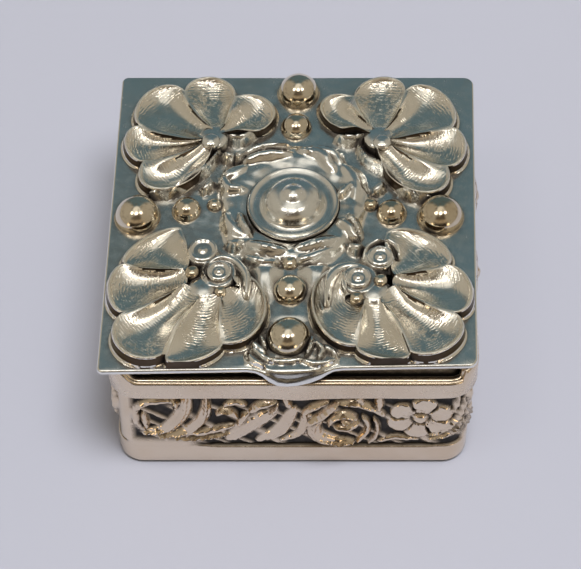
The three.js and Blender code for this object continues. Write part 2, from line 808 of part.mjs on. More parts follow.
const hinge = new THREE.Group();
hinge.position.set(0, hingeY, hingeZ);
box.add(hinge);
hinge.add(named('hinge_pin', geometryOf(rod(pinRadius, hingeLength)), hingeSilver));
['knuckle_body_left', 'knuckle_body_middle', 'knuckle_body_right'].forEach((name, i) => {
  const piece = named(name, knuckle(knuckleLength, false), hingeSilver);
  piece.position.x = knucklePlace(2 * i);
  hinge.add(piece);
});

const lid = new THREE.Group();
lid.rotation.x = -THREE.MathUtils.degToRad(hingeOpening);
hinge.add(lid);
['knuckle_lid_left', 'knuckle_lid_right'].forEach((name, i) => {
  const piece = named(name, knuckle(knuckleLength, true), hingeSilver);
  piece.position.x = knucklePlace(2 * i + 1);
  lid.add(piece);
});
const plate = named('lid_plate', lidPlate(), silver);
plate.position.set(0, lidCentreY - hingeY, lidTop - hingeZ);
lid.add(plate);
const flange = named('lid_flange', lidFlange(), wornSilver);
flange.position.set(0, -hingeY, -hingeZ);
lid.add(flange);

export default box;
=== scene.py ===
"""A small square trinket box in silver, with an embossed lid on a five-knuckle hinge."""

import math

import bmesh
import bpy
import numpy as np
from bpy.props import FloatProperty, FloatVectorProperty, PointerProperty
from bpy.types import Operator, Panel, PropertyGroup
from mathutils import Matrix, Vector
from mathutils.kdtree import KDTree


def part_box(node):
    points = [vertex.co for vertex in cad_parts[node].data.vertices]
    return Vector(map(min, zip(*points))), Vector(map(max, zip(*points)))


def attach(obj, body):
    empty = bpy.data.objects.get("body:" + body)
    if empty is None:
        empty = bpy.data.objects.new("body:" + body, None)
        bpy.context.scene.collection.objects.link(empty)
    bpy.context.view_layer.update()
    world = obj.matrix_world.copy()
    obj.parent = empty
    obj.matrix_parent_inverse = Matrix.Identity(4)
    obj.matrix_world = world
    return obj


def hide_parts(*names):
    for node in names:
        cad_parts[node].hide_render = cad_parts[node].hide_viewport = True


bl_info = {
    "name": "Silver Trinket Box",
    "version": (1, 0, 0),
    "blender": (4, 5, 0),
    "location": "View3D > Sidebar > Trinket Box",
    "description": "Builds a square silver trinket box with an embossed lid, on its CAD frame",
    "category": "Object",
}

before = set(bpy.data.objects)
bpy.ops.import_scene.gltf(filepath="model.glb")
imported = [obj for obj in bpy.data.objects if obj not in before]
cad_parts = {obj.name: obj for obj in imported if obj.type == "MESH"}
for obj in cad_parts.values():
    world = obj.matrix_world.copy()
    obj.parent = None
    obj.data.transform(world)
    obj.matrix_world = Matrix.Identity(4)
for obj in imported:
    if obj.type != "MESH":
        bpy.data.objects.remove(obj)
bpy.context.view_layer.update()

# Shapes are worked out in millimetres and made metres when a piece is finished
MM = 0.001


def box_of(name):
    """The low and high corners of a CAD node, in millimetres."""
    return [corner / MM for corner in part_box(name)]


# The rim strip, from the CAD frame: how far it stands out, and how its lower edge dips and waves
RIM_LOW, RIM_HIGH = box_of("rim_band")
RIM_BOTTOM = RIM_LOW.z
RIM_PROUD = 0.4
RIM_RAISED = 0.12
RIM_DIP = 0.28
RIM_WAVE = 0.07
RIM_STEPS = (150, 80, 120, 80)
RIM_CORNER_STEPS = 12

# The walls, just inside the rim strip
WALL_HALF_X = RIM_HIGH.x - RIM_PROUD
WALL_HALF_Y = RIM_HIGH.y - RIM_PROUD
WALL_TOP = RIM_HIGH.z
WALL_CORNER = 2.2
WALL_SHEET = 0.55
FOOT_ROUND = 0.55
BASE_BAND = 2.4
BASE_LEVEL = 1.5
WALL_STEPS = (400, 190, 100, 140)
WALL_CORNER_STEPS = 14
WALL_FIELD_STEPS = 84
FOOT_STEPS = 5

# The chased field: its depth, the groove along its foot, and the heights over which its black fades
FIELD_SUNK = 0.28
GROOVE_DEPTH = 0.30
GROOVE_HALF = 0.15
GROOVE_LEVEL = 0.35
UNDERGROWTH = 0.24
GROUND_LOW = 0.05
GROUND_HIGH = 0.30

# The cut in the front edge, and the one for the hinge
RECESS_DEPTH = 1.15
RECESS_LEFT = -14.65
RECESS_RIGHT = 14.65
RECESS_RAMP_LEFT = 1.4
RECESS_RAMP_RIGHT = 0.3
NOTCH_HALF = 13.05
NOTCH_FLOOR = 12.5

# The lid, a little out of square, with a thumb tab that drops towards its tip
LID_SHEET = 0.55
LID_TOP = box_of("lid_plate")[0].z + LID_SHEET
LID_HALF = 16.0
LID_CENTRE_Y = 1.0
LID_SOFTENED = 0.2
LID_SHEAR = 0.03
LID_FRONT_SLOPE = 0.02
TAB_BEND = 16.2
TAB_TIP = 17.1
TAB_DROP = 0.8

# The lid's embossing: shells, boss, collar, wreath and the ramp between the front shells
SHELL_ROOT_HEIGHT = 1.3
SHELL_RIDGE_HEIGHT = 1.5
SHELL_SCOOP = 0.95
SHELL_LIMIT = 15.78
SHELL_LINE = 0.10
SHELL_LINE_WIDTH = 0.13
SHELL_STEPS = (20, 36)
HOLLOW_STEPS = (6, 10)
BOSS_Y = 0.9
BOSS_STEPS = 96
UNDER_BOSS_STEPS = 48
BEAD_HOLLOW_STEPS = 20
CURL_STEPS = 40
COLLAR_REACH = 6.7
COLLAR_HEIGHT = 0.55
WREATH_RADIUS = 5.2
WREATH_HALF = 0.85
WREATH_RISE = 0.25
RAMP_RISE = 0.95
FIELD_HALF = 13.4
FIELD_STEPS = 176
SCROLL_REACH = 3.6
SCROLL_STEPS = 84
SCROLL_MOUND = 1.5
CREST_HALF = 0.07
CREST_FADE = 0.17

# Raised solids reach down into the sheet, and hollows reach out below it
ROOT_LEVEL = -0.3
HOLLOW_LEVEL = -1.2

# Leaves of the walls and folds of the lid
LEAF_RISE = 1.35
LEAF_RIB = 0.12
LEAF_RIB_PITCH = 0.5
LEAF_KEEL = 0.45
LEAF_TIP = 0.06
LEAF_FALL = 0.45
RIBBED_HALF_WIDTH = 0.6
CREASE_HALF = 0.1
FOLD_SPREAD = 1.5
FOLD_RISE = 1.15
FOLD_BLEND = 0.16

# The hinge
PIN_LOW, PIN_HIGH = box_of("hinge_pin")
HINGE_Y = (PIN_LOW.y + PIN_HIGH.y) / 2
HINGE_Z = (PIN_LOW.z + PIN_HIGH.z) / 2
KNUCKLE_RADIUS = 0.8
KNUCKLE_FOOT = 0.83
BORE_RADIUS = 0.4
KNUCKLES = {"body": ("left", "middle", "right"), "lid": ("left", "right")}

# Materials: the lid's slots, and the rows of punch marks on its shells
MATERIAL_SLOTS = 4
# The last slot paints the shells' steep sides dark brown and black: painted shade.
PLAIN, CHASED, BRIGHT, STEEP_SHADE = range(MATERIAL_SLOTS)
MARK_PITCH = 0.26
MARK_WOBBLE = 12.0
BUMP_HEIGHT = 0.06

# What black oxide does to the silver, and worn crests, which are lightened also as a painted highlight
BLACK_ROUGHER = 0.25
BLACK_METALLIC = -0.9
# Crests are lightened by wear and, further, as a painted highlight.
CREST_WEAR_AND_HIGHLIGHT = 0.85
CREST_ROUGHER = 0.30
SPECULAR = 0.2

# Edges with more degrees between their faces than these stay sharp
SHARP_ANGLE = 38.0
WALL_SHARP_ANGLE = 60.0
LID_SHARP_ANGLE = 42.0

# Points nearer than SAME are one, and differences below LEVEL are none
SAME = 1e-4
LEVEL = 1e-6


def smooth(low, high, value):
    """A smooth step from 0 at low to 1 at high."""
    share = np.clip((value - low) / (high - low), 0.0, 1.0)
    return share * share * (3.0 - 2.0 * share)


def fade(low, high, value):
    """A smooth step from 1 at low to 0 at high."""
    return 1.0 - smooth(low, high, value)


def hump(value, middle, half):
    """A smooth hump: 1 at its middle, and about a third of that at half to each side."""
    return np.exp(-(((value - middle) / half) ** 2))


def ripple(x, y, pitch, seed=0.0):
    """A gentle, fixed unevenness between about -1 and 1."""
    a = np.sin(x / pitch * 1.7 + 1.3 * seed) * np.cos(y / pitch * 1.3 - 0.7 * seed)
    b = np.sin((x + 0.6 * y) / pitch * 2.9 + 2.1 * seed) * np.cos((y - 0.4 * x) / pitch * 3.3 + seed)
    return 0.6 * a + 0.4 * b


def curve_points(controls, count=28):
    """Points along a smooth curve through the control points."""
    c = np.array([controls[0], *controls, controls[-1]], float)
    spans = len(controls) - 1
    share = np.linspace(0.0, spans, count)
    index = np.minimum(share.astype(int), spans - 1)
    t = (share - index)[:, None]
    p0, p1, p2, p3 = c[index], c[index + 1], c[index + 2], c[index + 3]
    return 0.5 * (
        2 * p1
        + (p2 - p0) * t
        + (2 * p0 - 5 * p1 + 4 * p2 - p3) * t**2
        + (3 * p1 - p0 - 3 * p2 + p3) * t**3
    )


def strand(x, y, controls, half_width, height, crease=0.0, blunt=0.55, full=0.75, rib=0.0, keel=0.0):
    """The height of a leaf or fold that follows a curve, widest in the middle."""
    line = curve_points(controls)
    reach = 1.3 * half_width
    near = (
        (x > line[:, 0].min() - reach)
        & (x < line[:, 0].max() + reach)
        & (y > line[:, 1].min() - reach)
        & (y < line[:, 1].max() + reach)
    )
    result = np.zeros_like(x)
    if not near.any():
        return result
    px, py = x[near], y[near]
    start, end = line[:-1], line[1:]
    step = end - start
    length2 = (step**2).sum(1)
    rel_x = px[:, None] - start[None, :, 0]
    rel_y = py[:, None] - start[None, :, 1]
    share = np.clip((rel_x * step[:, 0] + rel_y * step[:, 1]) / length2, 0.0, 1.0)
    gap = np.hypot(rel_x - share * step[:, 0], rel_y - share * step[:, 1])
    best = gap.argmin(1)
    rows = np.arange(len(px))
    distance = gap[rows, best]
    t = (best + share[rows, best]) / len(start)
    swell = np.sin(math.pi * np.clip(LEAF_TIP + (1.0 - 2.0 * LEAF_TIP) * t, 0.0, 1.0)) ** blunt
    across = distance / (half_width * swell)
    crown = np.clip(1.0 - across**2, 0.0, 1.0) ** full
    crown = (1.0 - keel) * crown + keel * np.clip(1.0 - across, 0.0, 1.0)
    lift = height * crown * (1.0 - LEAF_FALL + LEAF_FALL * swell)
    lift -= crease * hump(distance, 0.0, CREASE_HALF) * crown
    if half_width > RIBBED_HALF_WIDTH:
        lift -= rib * np.sin(math.pi * distance / LEAF_RIB_PITCH) ** 2 * crown
    result[near] = lift
    return result


def highest(*heights):
    """The upper envelope of several reliefs."""
    top = heights[0]
    for height in heights[1:]:
        top = np.maximum(top, height)
    return top


def shape_grid(columns, rows, place):
    """A grid whose points go where a function of their two whole-number places says."""
    bm = bmesh.new()
    bmesh.ops.create_grid(bm, x_segments=columns, y_segments=rows, size=0.5)
    flat = np.array([vert.co[:] for vert in bm.verts]) + 0.5
    column = np.rint(flat[:, 0] * columns).astype(int)
    row = np.rint(flat[:, 1] * rows).astype(int)
    for vert, point in zip(bm.verts, place(column, row)):
        vert.co = point
    return bm


def outward(bm):
    """Turns the faces of a closed mesh outwards."""
    bmesh.ops.recalc_face_normals(bm, faces=bm.faces)
    return bm


def welded(bm):
    """Joins the points that are in one place, and turns the faces outwards."""
    bmesh.ops.remove_doubles(bm, verts=bm.verts, dist=SAME)
    return outward(bm)


def extrude(bm, faces, step):
    """Makes a closed solid from faces and a step."""
    made = bmesh.ops.extrude_face_region(bm, geom=faces)["geom"]
    moved = [item for item in made if isinstance(item, bmesh.types.BMVert)]
    bmesh.ops.translate(bm, vec=step, verts=moved)
    return outward(bm)


def level_sheet(outline, low, thickness, softened, segments):
    """A level sheet from its outline, with softened edges."""
    bm = bmesh.new()
    verts = [bm.verts.new((x, y, low)) for x, y in outline]
    extrude(bm, [bm.faces.new(verts)], (0.0, 0.0, thickness))
    rims = [e for e in bm.edges if abs(e.verts[0].co.z - e.verts[1].co.z) < LEVEL]
    bmesh.ops.bevel(
        bm, geom=rims, offset=softened, segments=segments, profile=0.5, affect="EDGES", material=-1
    )
    bmesh.ops.triangulate(bm, faces=bm.faces)
    return bm


def close_below(bm, floor=ROOT_LEVEL):
    """Closes an open relief with a wall down to a level floor."""
    edges = [edge for edge in bm.edges if edge.is_boundary]
    made = bmesh.ops.extrude_edge_only(bm, edges=edges)["geom"]
    for item in made:
        if isinstance(item, bmesh.types.BMVert):
            item.co.z = floor
    lower = [item for item in made if isinstance(item, bmesh.types.BMEdge) and item.is_boundary]
    bmesh.ops.holes_fill(bm, edges=lower, sides=0)
    return outward(bm)


def spun(profile, steps, centre=(0.0, 0.0)):
    """A closed solid turned about an upright axis from its profile of radius and height."""
    bm = bmesh.new()
    verts = [bm.verts.new((radius, 0.0, height)) for radius, height in profile]
    edges = [bm.edges.new(pair) for pair in zip(verts, verts[1:])]
    middle, upright, turn = (0, 0, 0), (0, 0, 1), 2.0 * math.pi
    bmesh.ops.spin(
        bm, geom=verts + edges, cent=middle, axis=upright, angle=turn, steps=steps, use_merge=True
    )
    welded(bm)
    bmesh.ops.translate(bm, vec=(*centre, 0.0), verts=bm.verts)
    return bm


def as_object(bm, name, material_index=0):
    """An object, still in millimetres, from a bmesh."""
    for face in bm.faces:
        face.material_index = material_index
    mesh = bpy.data.meshes.new(name)
    bm.to_mesh(mesh)
    bm.free()
    for _ in range(MATERIAL_SLOTS):
        mesh.materials.append(None)
    piece = bpy.data.objects.new(name, mesh)
    bpy.context.scene.collection.objects.link(piece)
    return piece


def cut_and_join(base, raised, sunk):
    """The base with the raised solids joined on and the sunk ones cut away."""
    for other, operation in [(o, "UNION") for o in raised] + [(o, "DIFFERENCE") for o in sunk]:
        modifier = base.modifiers.new(other.name, "BOOLEAN")
        modifier.operation = operation
        modifier.solver = "MANIFOLD"
        modifier.object = other
    depsgraph = bpy.context.evaluated_depsgraph_get()
    joined = bpy.data.meshes.new_from_object(base.evaluated_get(depsgraph))
    base.modifiers.clear()
    base.data = joined
    for other in raised + sunk:
        bpy.data.objects.remove(other)
    return base


def finish_piece(piece, materials, body, node, sharp=SHARP_ANGLE):
    """Makes a piece metres, smooths it, gives it its materials and puts it on its body."""
    piece.data.transform(Matrix.Scale(MM, 4))
    slots = piece.data.materials
    while len(slots) > len(materials):
        slots.pop()
    for index, material in enumerate(materials):
        slots[index] = material
    piece.data.shade_smooth()
    piece.data.set_sharp_from_angle(angle=math.radians(sharp))
    piece.data.update()
    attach(piece, body)
    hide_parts(node)
    return piece


def mark_ground(wall):
    """Notes how deep each point of the wall lies in its ground, black with oxide and, in the groove along
    the field's foot, also a painted shadow line, and marks the inner faces.
    """
    points = np.array([vert.co[:] for vert in wall.data.vertices])
    corner = np.array([WALL_HALF_X - WALL_CORNER, WALL_HALF_Y - WALL_CORNER])
    past = np.abs(points[:, :2]) - corner
    out = np.hypot(*np.maximum(past, 0.0).T) + np.minimum(past.max(1), 0.0) - WALL_CORNER
    # The ground's black is oxide, and in the groove along the field's foot also a painted shadow line.
    deep = fade(GROUND_LOW - FIELD_SUNK, GROUND_HIGH - FIELD_SUNK, out)
    deep *= smooth(BASE_BAND + 0.08, BASE_BAND + 0.25, points[:, 2]) * (points[:, 2] < RIM_BOTTOM + 0.3)
    deep *= out > -FIELD_SUNK - 0.25
    ground = wall.data.attributes.new("ground", "FLOAT", "POINT")
    ground.data.foreach_set("value", deep.astype(np.float32))
    for face in wall.data.polygons:
        face.material_index = int(out[list(face.vertices)].max() < 0.1 - WALL_SHEET)


# Rounded rectangles that bands run round


def ring_stations(half_x, half_y, radius, counts, corner_steps):
    """Places round a rounded rectangle, anticlockwise from the left end of the front.

    Gives x, y, the outward direction, the side's number and the distance along from its middle."""
    straight_x = half_x - radius
    straight_y = half_y - radius
    rows = []
    sides = [
        ((-straight_x, -half_y), (1.0, 0.0), straight_x, (straight_x, -half_y + radius), -0.5),
        ((half_x, -straight_y), (0.0, 1.0), straight_y, (straight_x, straight_y), 0.0),
        ((straight_x, half_y), (-1.0, 0.0), straight_x, (-straight_x, straight_y), 0.5),
        ((-half_x, straight_y), (0.0, -1.0), straight_y, (-straight_x, -straight_y), 1.0),
    ]
    for side, (start, along, half, centre, turn) in enumerate(sides):
        out = (along[1], -along[0])
        for i in range(counts[side]):
            run = 2.0 * half * i / counts[side]
            rows.append((start[0] + along[0] * run, start[1] + along[1] * run, *out, side, run - half))
        for i in range(corner_steps):
            share = i / corner_steps
            angle = math.pi * (turn + 0.5 * share)
            out_x, out_y = math.cos(angle), math.sin(angle)
            arc = radius * math.pi / 2.0
            if share <= 0.5:
                place = (side, half + arc * share)
            else:
                following = (straight_y, straight_x, straight_y, straight_x)[side]
                place = ((side + 1) % 4, -following - arc * (1.0 - share))
            rows.append((centre[0] + radius * out_x, centre[1] + radius * out_y, out_x, out_y, *place))
    return np.array(rows)


def ring_loft(stations, rows, place):
    """A closed band round its stations: place gives offset and height for station and row numbers."""
    count = len(stations)

    def put(column, row):
        at = stations[column % count]
        offset, height = place(column % count, row % rows)
        return np.column_stack([at[:, 0] + offset * at[:, 2], at[:, 1] + offset * at[:, 3], height])

    return welded(shape_grid(count, rows, put))


def edge_height(side, along, top):
    """The height of the wall's top edge, with the cuts at the front and for the hinge."""
    left = smooth(RECESS_LEFT, RECESS_LEFT + RECESS_RAMP_LEFT, along)
    right = 1.0 - smooth(RECESS_RIGHT - RECESS_RAMP_RIGHT, RECESS_RIGHT, along)
    front = top - RECESS_DEPTH * np.minimum(left, right)
    back = np.where(np.abs(along) < NOTCH_HALF, NOTCH_FLOOR, top)
    return np.where(side == 0, front, np.where(side == 2, back, top))


# The chased flowers and leaves on the walls

LEAVES = [
    # control points, half width, height, crease
    ([(-11.6, 9.9), (-12.9, 9.4), (-13.6, 8.2), (-13.5, 6.6), (-12.8, 5.5)], 0.50, 0.50, 0.0),
    ([(-12.9, 8.2), (-12.75, 7.0), (-12.6, 6.0)], 0.50, 0.55, 0.0),
    ([(-12.9, 4.9), (-11.0, 5.6), (-9.9, 7.1), (-9.3, 8.8), (-9.1, 10.7)], 0.95, 0.55, 0.0),
    ([(-11.6, 4.4), (-9.3, 5.3), (-8.0, 6.8), (-7.5, 8.5), (-7.4, 10.7)], 0.72, 0.62, 0.0),
    ([(-13.4, 9.2), (-12.2, 9.9), (-10.9, 10.0), (-9.7, 9.6)], 0.48, 0.50, 0.1),
    ([(-10.4, 10.4), (-10.0, 9.6), (-10.2, 8.9)], 0.35, 0.62, 0.0),
    ([(-6.6, 8.1), (-5.7, 8.6), (-4.7, 7.5)], 0.45, 0.60, 0.0),
    ([(-9.2, 4.7), (-7.2, 5.3), (-5.2, 6.1)], 0.55, 0.50, 0.1),
    ([(-10.2, 3.8), (-7.4, 4.2), (-5.4, 4.9)], 0.36, 0.42, 0.0),
    ([(-5.9, 9.2), (-5.0, 9.8), (-4.0, 9.3)], 0.45, 0.50, 0.1),
    ([(-3.7, 8.4), (-2.8, 9.4), (-1.5, 9.8)], 0.52, 0.60, 0.1),
    ([(-2.0, 8.4), (-1.5, 8.9), (-1.3, 9.6)], 0.32, 0.62, 0.0),
    ([(-5.6, 3.9), (-3.7, 6.2), (-1.6, 8.2)], 1.25, 0.52, 0.16),
    ([(-4.6, 6.0), (-4.4, 7.2), (-3.8, 8.2)], 0.5, 0.52, 0.1),
    ([(-3.0, 3.7), (-1.1, 5.4), (0.1, 8.8)], 0.95, 0.50, 0.14),
    ([(-1.0, 3.7), (0.6, 4.9), (1.1, 6.6), (0.9, 8.2)], 0.68, 0.48, 0.1),
    ([(-0.8, 10.6), (-0.5, 9.6), (-0.2, 9.0)], 0.45, 0.45, 0.0),
    ([(0.8, 7.9), (1.7, 9.0), (3.0, 9.9)], 0.42, 0.60, 0.1),
    ([(1.1, 6.4), (2.6, 7.9), (3.9, 9.8)], 0.50, 0.66, 0.0),
    ([(2.6, 7.6), (1.8, 6.2), (2.1, 4.6), (3.4, 3.7), (5.2, 3.5)], 0.95, 0.68, 0.0),
    ([(3.1, 6.2), (3.4, 7.4), (4.4, 8.0), (5.5, 7.4)], 0.52, 0.66, 0.0),
    ([(3.6, 5.8), (4.8, 5.8), (5.7, 6.7)], 0.48, 0.60, 0.1),
    ([(4.2, 6.9), (4.9, 7.1)], 0.5, 0.7, 0.0),
    ([(5.6, 3.7), (6.3, 5.1), (6.5, 6.4), (6.0, 7.5)], 0.45, 0.58, 0.0),
    ([(3.9, 9.6), (5.2, 9.7), (6.6, 9.0), (7.9, 7.8)], 0.52, 0.55, 0.0),
    ([(6.6, 3.4), (7.2, 4.6), (7.3, 6.0), (7.0, 7.2)], 0.38, 0.50, 0.0),
    ([(7.3, 8.4), (7.4, 9.4), (7.3, 10.6)], 0.55, 0.48, 0.0),
    ([(5.2, 10.7), (5.7, 10.1), (6.0, 9.6)], 0.4, 0.45, 0.0),
    ([(7.4, 3.6), (9.0, 4.2), (10.9, 3.8)], 0.42, 0.42, 0.1),
    ([(11.8, 4.7), (13.2, 5.6), (14.5, 7.4), (15.0, 9.4)], 0.38, 0.50, 0.0),
    ([(11.9, 3.9), (13.8, 4.8), (15.2, 6.4)], 0.32, 0.42, 0.0),
    ([(13.7, 8.0), (14.1, 9.2), (14.2, 10.5)], 0.36, 0.42, 0.0),
]

DAISY_CENTRE = (11.0, 7.15)
DAISY_RADIUS = 3.05
DAISY_PETALS = 6
DAISY_TURN = math.radians(83.0)
SIDE_FLOWERS = [
    # middle of a flowered swelling on the right wall, its radius and how far it stands out
    ((0.5, 7.2), 4.2, 1.25),
    ((9.1, 7.3), 4.0, 1.55),
]
SIDE_PETALS = 7
SIDE_TURN = 0.2
FLOWER_HEIGHTS = (0.5, 0.42)


def flower(x, y, centre, radius, petals, turn, height):
    """The height of an open flower: dished petals with cut gaps, and a button in the middle."""
    dx, dy = x - centre[0], y - centre[1]
    distance = np.hypot(dx, dy)
    angle = np.arctan2(dy, dx) - turn
    step = 2.0 * math.pi / petals
    off = (angle + step / 2.0) % step - step / 2.0
    edge = radius * (0.74 + 0.26 * np.cos(off * petals / 2.0) ** 0.5)
    share = distance / edge
    body = height * (0.62 + 0.38 * smooth(0.2, 0.8, share)) * np.clip(1.0 - share**8, 0.0, 1.0) ** 0.5
    gap = (step / 2.0 - np.abs(off)) * distance
    body *= smooth(0.0, 0.22, gap + 0.10 * (share < 0.55))
    ray_height, ray_count = 0.035, 26.0
    rays = ray_height * np.cos(angle * ray_count) * smooth(0.6, 0.9, distance) * fade(1.3, 1.8, distance)
    button_radius, moat_radius, moat_half = 0.66, 0.8, 0.14
    button = height * 1.15 * np.sqrt(np.clip(1.0 - (distance / button_radius) ** 2, 0.0, 1.0))
    moat = 1.0 - 0.7 * hump(distance, moat_radius, moat_half)
    return np.maximum((body + rays) * moat * (share < 1.0), button)


def wall_relief(side, along, height):
    """How far the chased work stands out of its sunk field, on any of the four walls."""
    flip = np.where((side == 1) | (side == 3), -1.0, 1.0)
    x = along * flip
    reliefs = [
        strand(x, height, controls, width, LEAF_RISE * rise, crease, full=1.0, rib=LEAF_RIB, keel=LEAF_KEEL)
        for controls, width, rise, crease in LEAVES
    ]
    tall, low = FLOWER_HEIGHTS
    reliefs.append(flower(x, height, DAISY_CENTRE, DAISY_RADIUS, DAISY_PETALS, DAISY_TURN, tall))
    work = highest(*reliefs)
    for (middle, level), reach, _ in SIDE_FLOWERS:
        full = flower(x, height, (-middle, level), reach - 0.6, SIDE_PETALS, SIDE_TURN, low)
        near_full = np.hypot(x + middle, height - level) < reach - 0.3
        work = np.where((side == 1) & near_full, full, work)
    sway = 2.4 * x + 2.9 * height + 1.6 * np.sin(0.9 * height + 0.5 * x)
    under = UNDERGROWTH * (0.5 + 0.5 * np.sin(sway)) ** 2.5 * fade(8.6, 10.0, height)
    work = np.maximum(work, under)
    veins = 0.02 * ripple(x, height, 0.16, 2.0) + 0.08 * ripple(x, height, 0.5, 5.0)
    work = work + veins * smooth(0.05, 0.3, work)
    corner_from, corner_full, corner_height = 13.4, 14.4, 0.35
    return np.maximum(work, smooth(corner_from, corner_full, -x) * corner_height)


def wall_offset(side, along, height):
    """How far the wall's outer face stands from its nominal place."""
    above_foot = height - BASE_BAND
    field = smooth(BASE_BAND + 0.25, BASE_BAND + 0.45, height) * fade(
        RIM_BOTTOM + 0.1, RIM_BOTTOM + 0.5, height
    )
    groove_span = smooth(-7.8, -6.4, along) * fade(11.6, 12.6, along)
    groove = GROOVE_DEPTH * hump(above_foot, GROOVE_LEVEL, GROOVE_HALF) * groove_span
    near_edge = smooth(BASE_BAND + 0.3, BASE_BAND + 1.0, height)
    lift = wall_relief(side, along, height)
    low_fill = FIELD_SUNK * fade(-9.5, -7.0, along) * fade(3.2, 4.6, height)
    sunk = -FIELD_SUNK * field + np.maximum(lift * near_edge, low_fill * field)
    swell = np.zeros_like(height)
    turned = side == 1
    if turned.any():
        for (middle, level), reach, rise in SIDE_FLOWERS:
            distance = np.hypot(along - middle, height - level) / reach
            swell = np.maximum(swell, np.where(turned, rise * np.clip(1.0 - distance**2, 0.0, 1.0), 0.0))
    return sunk - groove + swell * field


# Rows over the wall's top edge and down inside: offset, share of the edge's height, step from it
WALL_RETURN = [
    (0.0, 1.0, -0.6),
    (0.0, 1.0, -0.08),
    (-0.06, 1.0, 0.0),
    (-WALL_SHEET + 0.06, 1.0, 0.0),
    (-WALL_SHEET, 1.0, -0.08),
    (-WALL_SHEET, 0.0, 8.0),
    (-WALL_SHEET, 0.0, 0.9),
]


def make_wall():
    """The side band: foot, plain base band, chased field and plain top, hollow inside."""
    stations = ring_stations(WALL_HALF_X, WALL_HALF_Y, WALL_CORNER, WALL_STEPS, WALL_CORNER_STEPS)
    side, along = stations[:, 4], stations[:, 5]
    profile = [(-WALL_SHEET, 0.0)]
    for i in range(FOOT_STEPS):
        angle = 0.5 * math.pi * i / (FOOT_STEPS - 1)
        profile.append((-FOOT_ROUND * (1.0 - math.sin(angle)), FOOT_ROUND * (1.0 - math.cos(angle))))
    field_low = BASE_BAND - 0.1
    field_high = RIM_BOTTOM + 0.5
    profile.append((0.0, BASE_LEVEL))
    for i in range(WALL_FIELD_STEPS + 1):
        profile.append((0.0, field_low + (field_high - field_low) * i / WALL_FIELD_STEPS))
    outer_rows = len(profile)
    offsets, heights = np.array(profile).T

    def place(column, row):
        at_side, at_along = side[column], along[column]
        top = edge_height(at_side, at_along, WALL_TOP)
        inner = row >= outer_rows
        index = np.minimum(row, outer_rows - 1)
        height = heights[index]
        chased = np.where(height > 1.0, wall_offset(at_side, at_along, height), 0.0)
        offset = offsets[index] + chased
        for number, (at_offset, share, step) in enumerate(WALL_RETURN):
            mask = inner & (row - outer_rows == number)
            offset = np.where(mask, at_offset, offset)
            height = np.where(mask, share * top + step, height)
        return offset, np.minimum(height, top)

    return ring_loft(stations, outer_rows + len(WALL_RETURN), place)


def make_rim():
    """The plain rim strip, rounded along its top, with a slightly uneven lower edge."""
    stations = ring_stations(WALL_HALF_X, WALL_HALF_Y, WALL_CORNER, RIM_STEPS, RIM_CORNER_STEPS)
    side, along = stations[:, 4], stations[:, 5]
    full = RIM_PROUD
    inside = 0.02
    lower = [(inside, 0.0), (full - 0.12, 0.0), (full - 0.03, 0.04), (full, 0.14)]
    upper = [(full, -1.2), (full + 0.01, -0.75), (full - 0.01, -0.45), (full - 0.06, -0.22)]
    upper += [(full - 0.15, -0.07), (full - 0.27, -0.005), (inside, 0.0)]

    def place(column, row):
        at_side, at_along = side[column], along[column]
        top = edge_height(at_side, at_along, WALL_TOP)
        dip = RIM_DIP * hump(at_along, 0.4, 1.8) * (at_side == 0)
        low = RIM_BOTTOM + RIM_RAISED + RIM_WAVE * ripple(at_along, at_side, 1.9, 3.0) - dip
        offset = np.zeros(len(row))
        height = np.zeros(len(row))
        for number, (out, step) in enumerate(lower + upper):
            mask = row == number
            edge = low if number < len(lower) else top
            offset[mask] = out
            height[mask] = (edge + step)[mask]
        dent = 0.012 * ripple(at_along, height, 2.3, 1.0 + at_side)
        return offset + np.where(offset > 0.1, dent, 0.0), height

    return ring_loft(stations, len(lower + upper), place)


# The lid's embossing, in millimetres from the middle of the lid plate

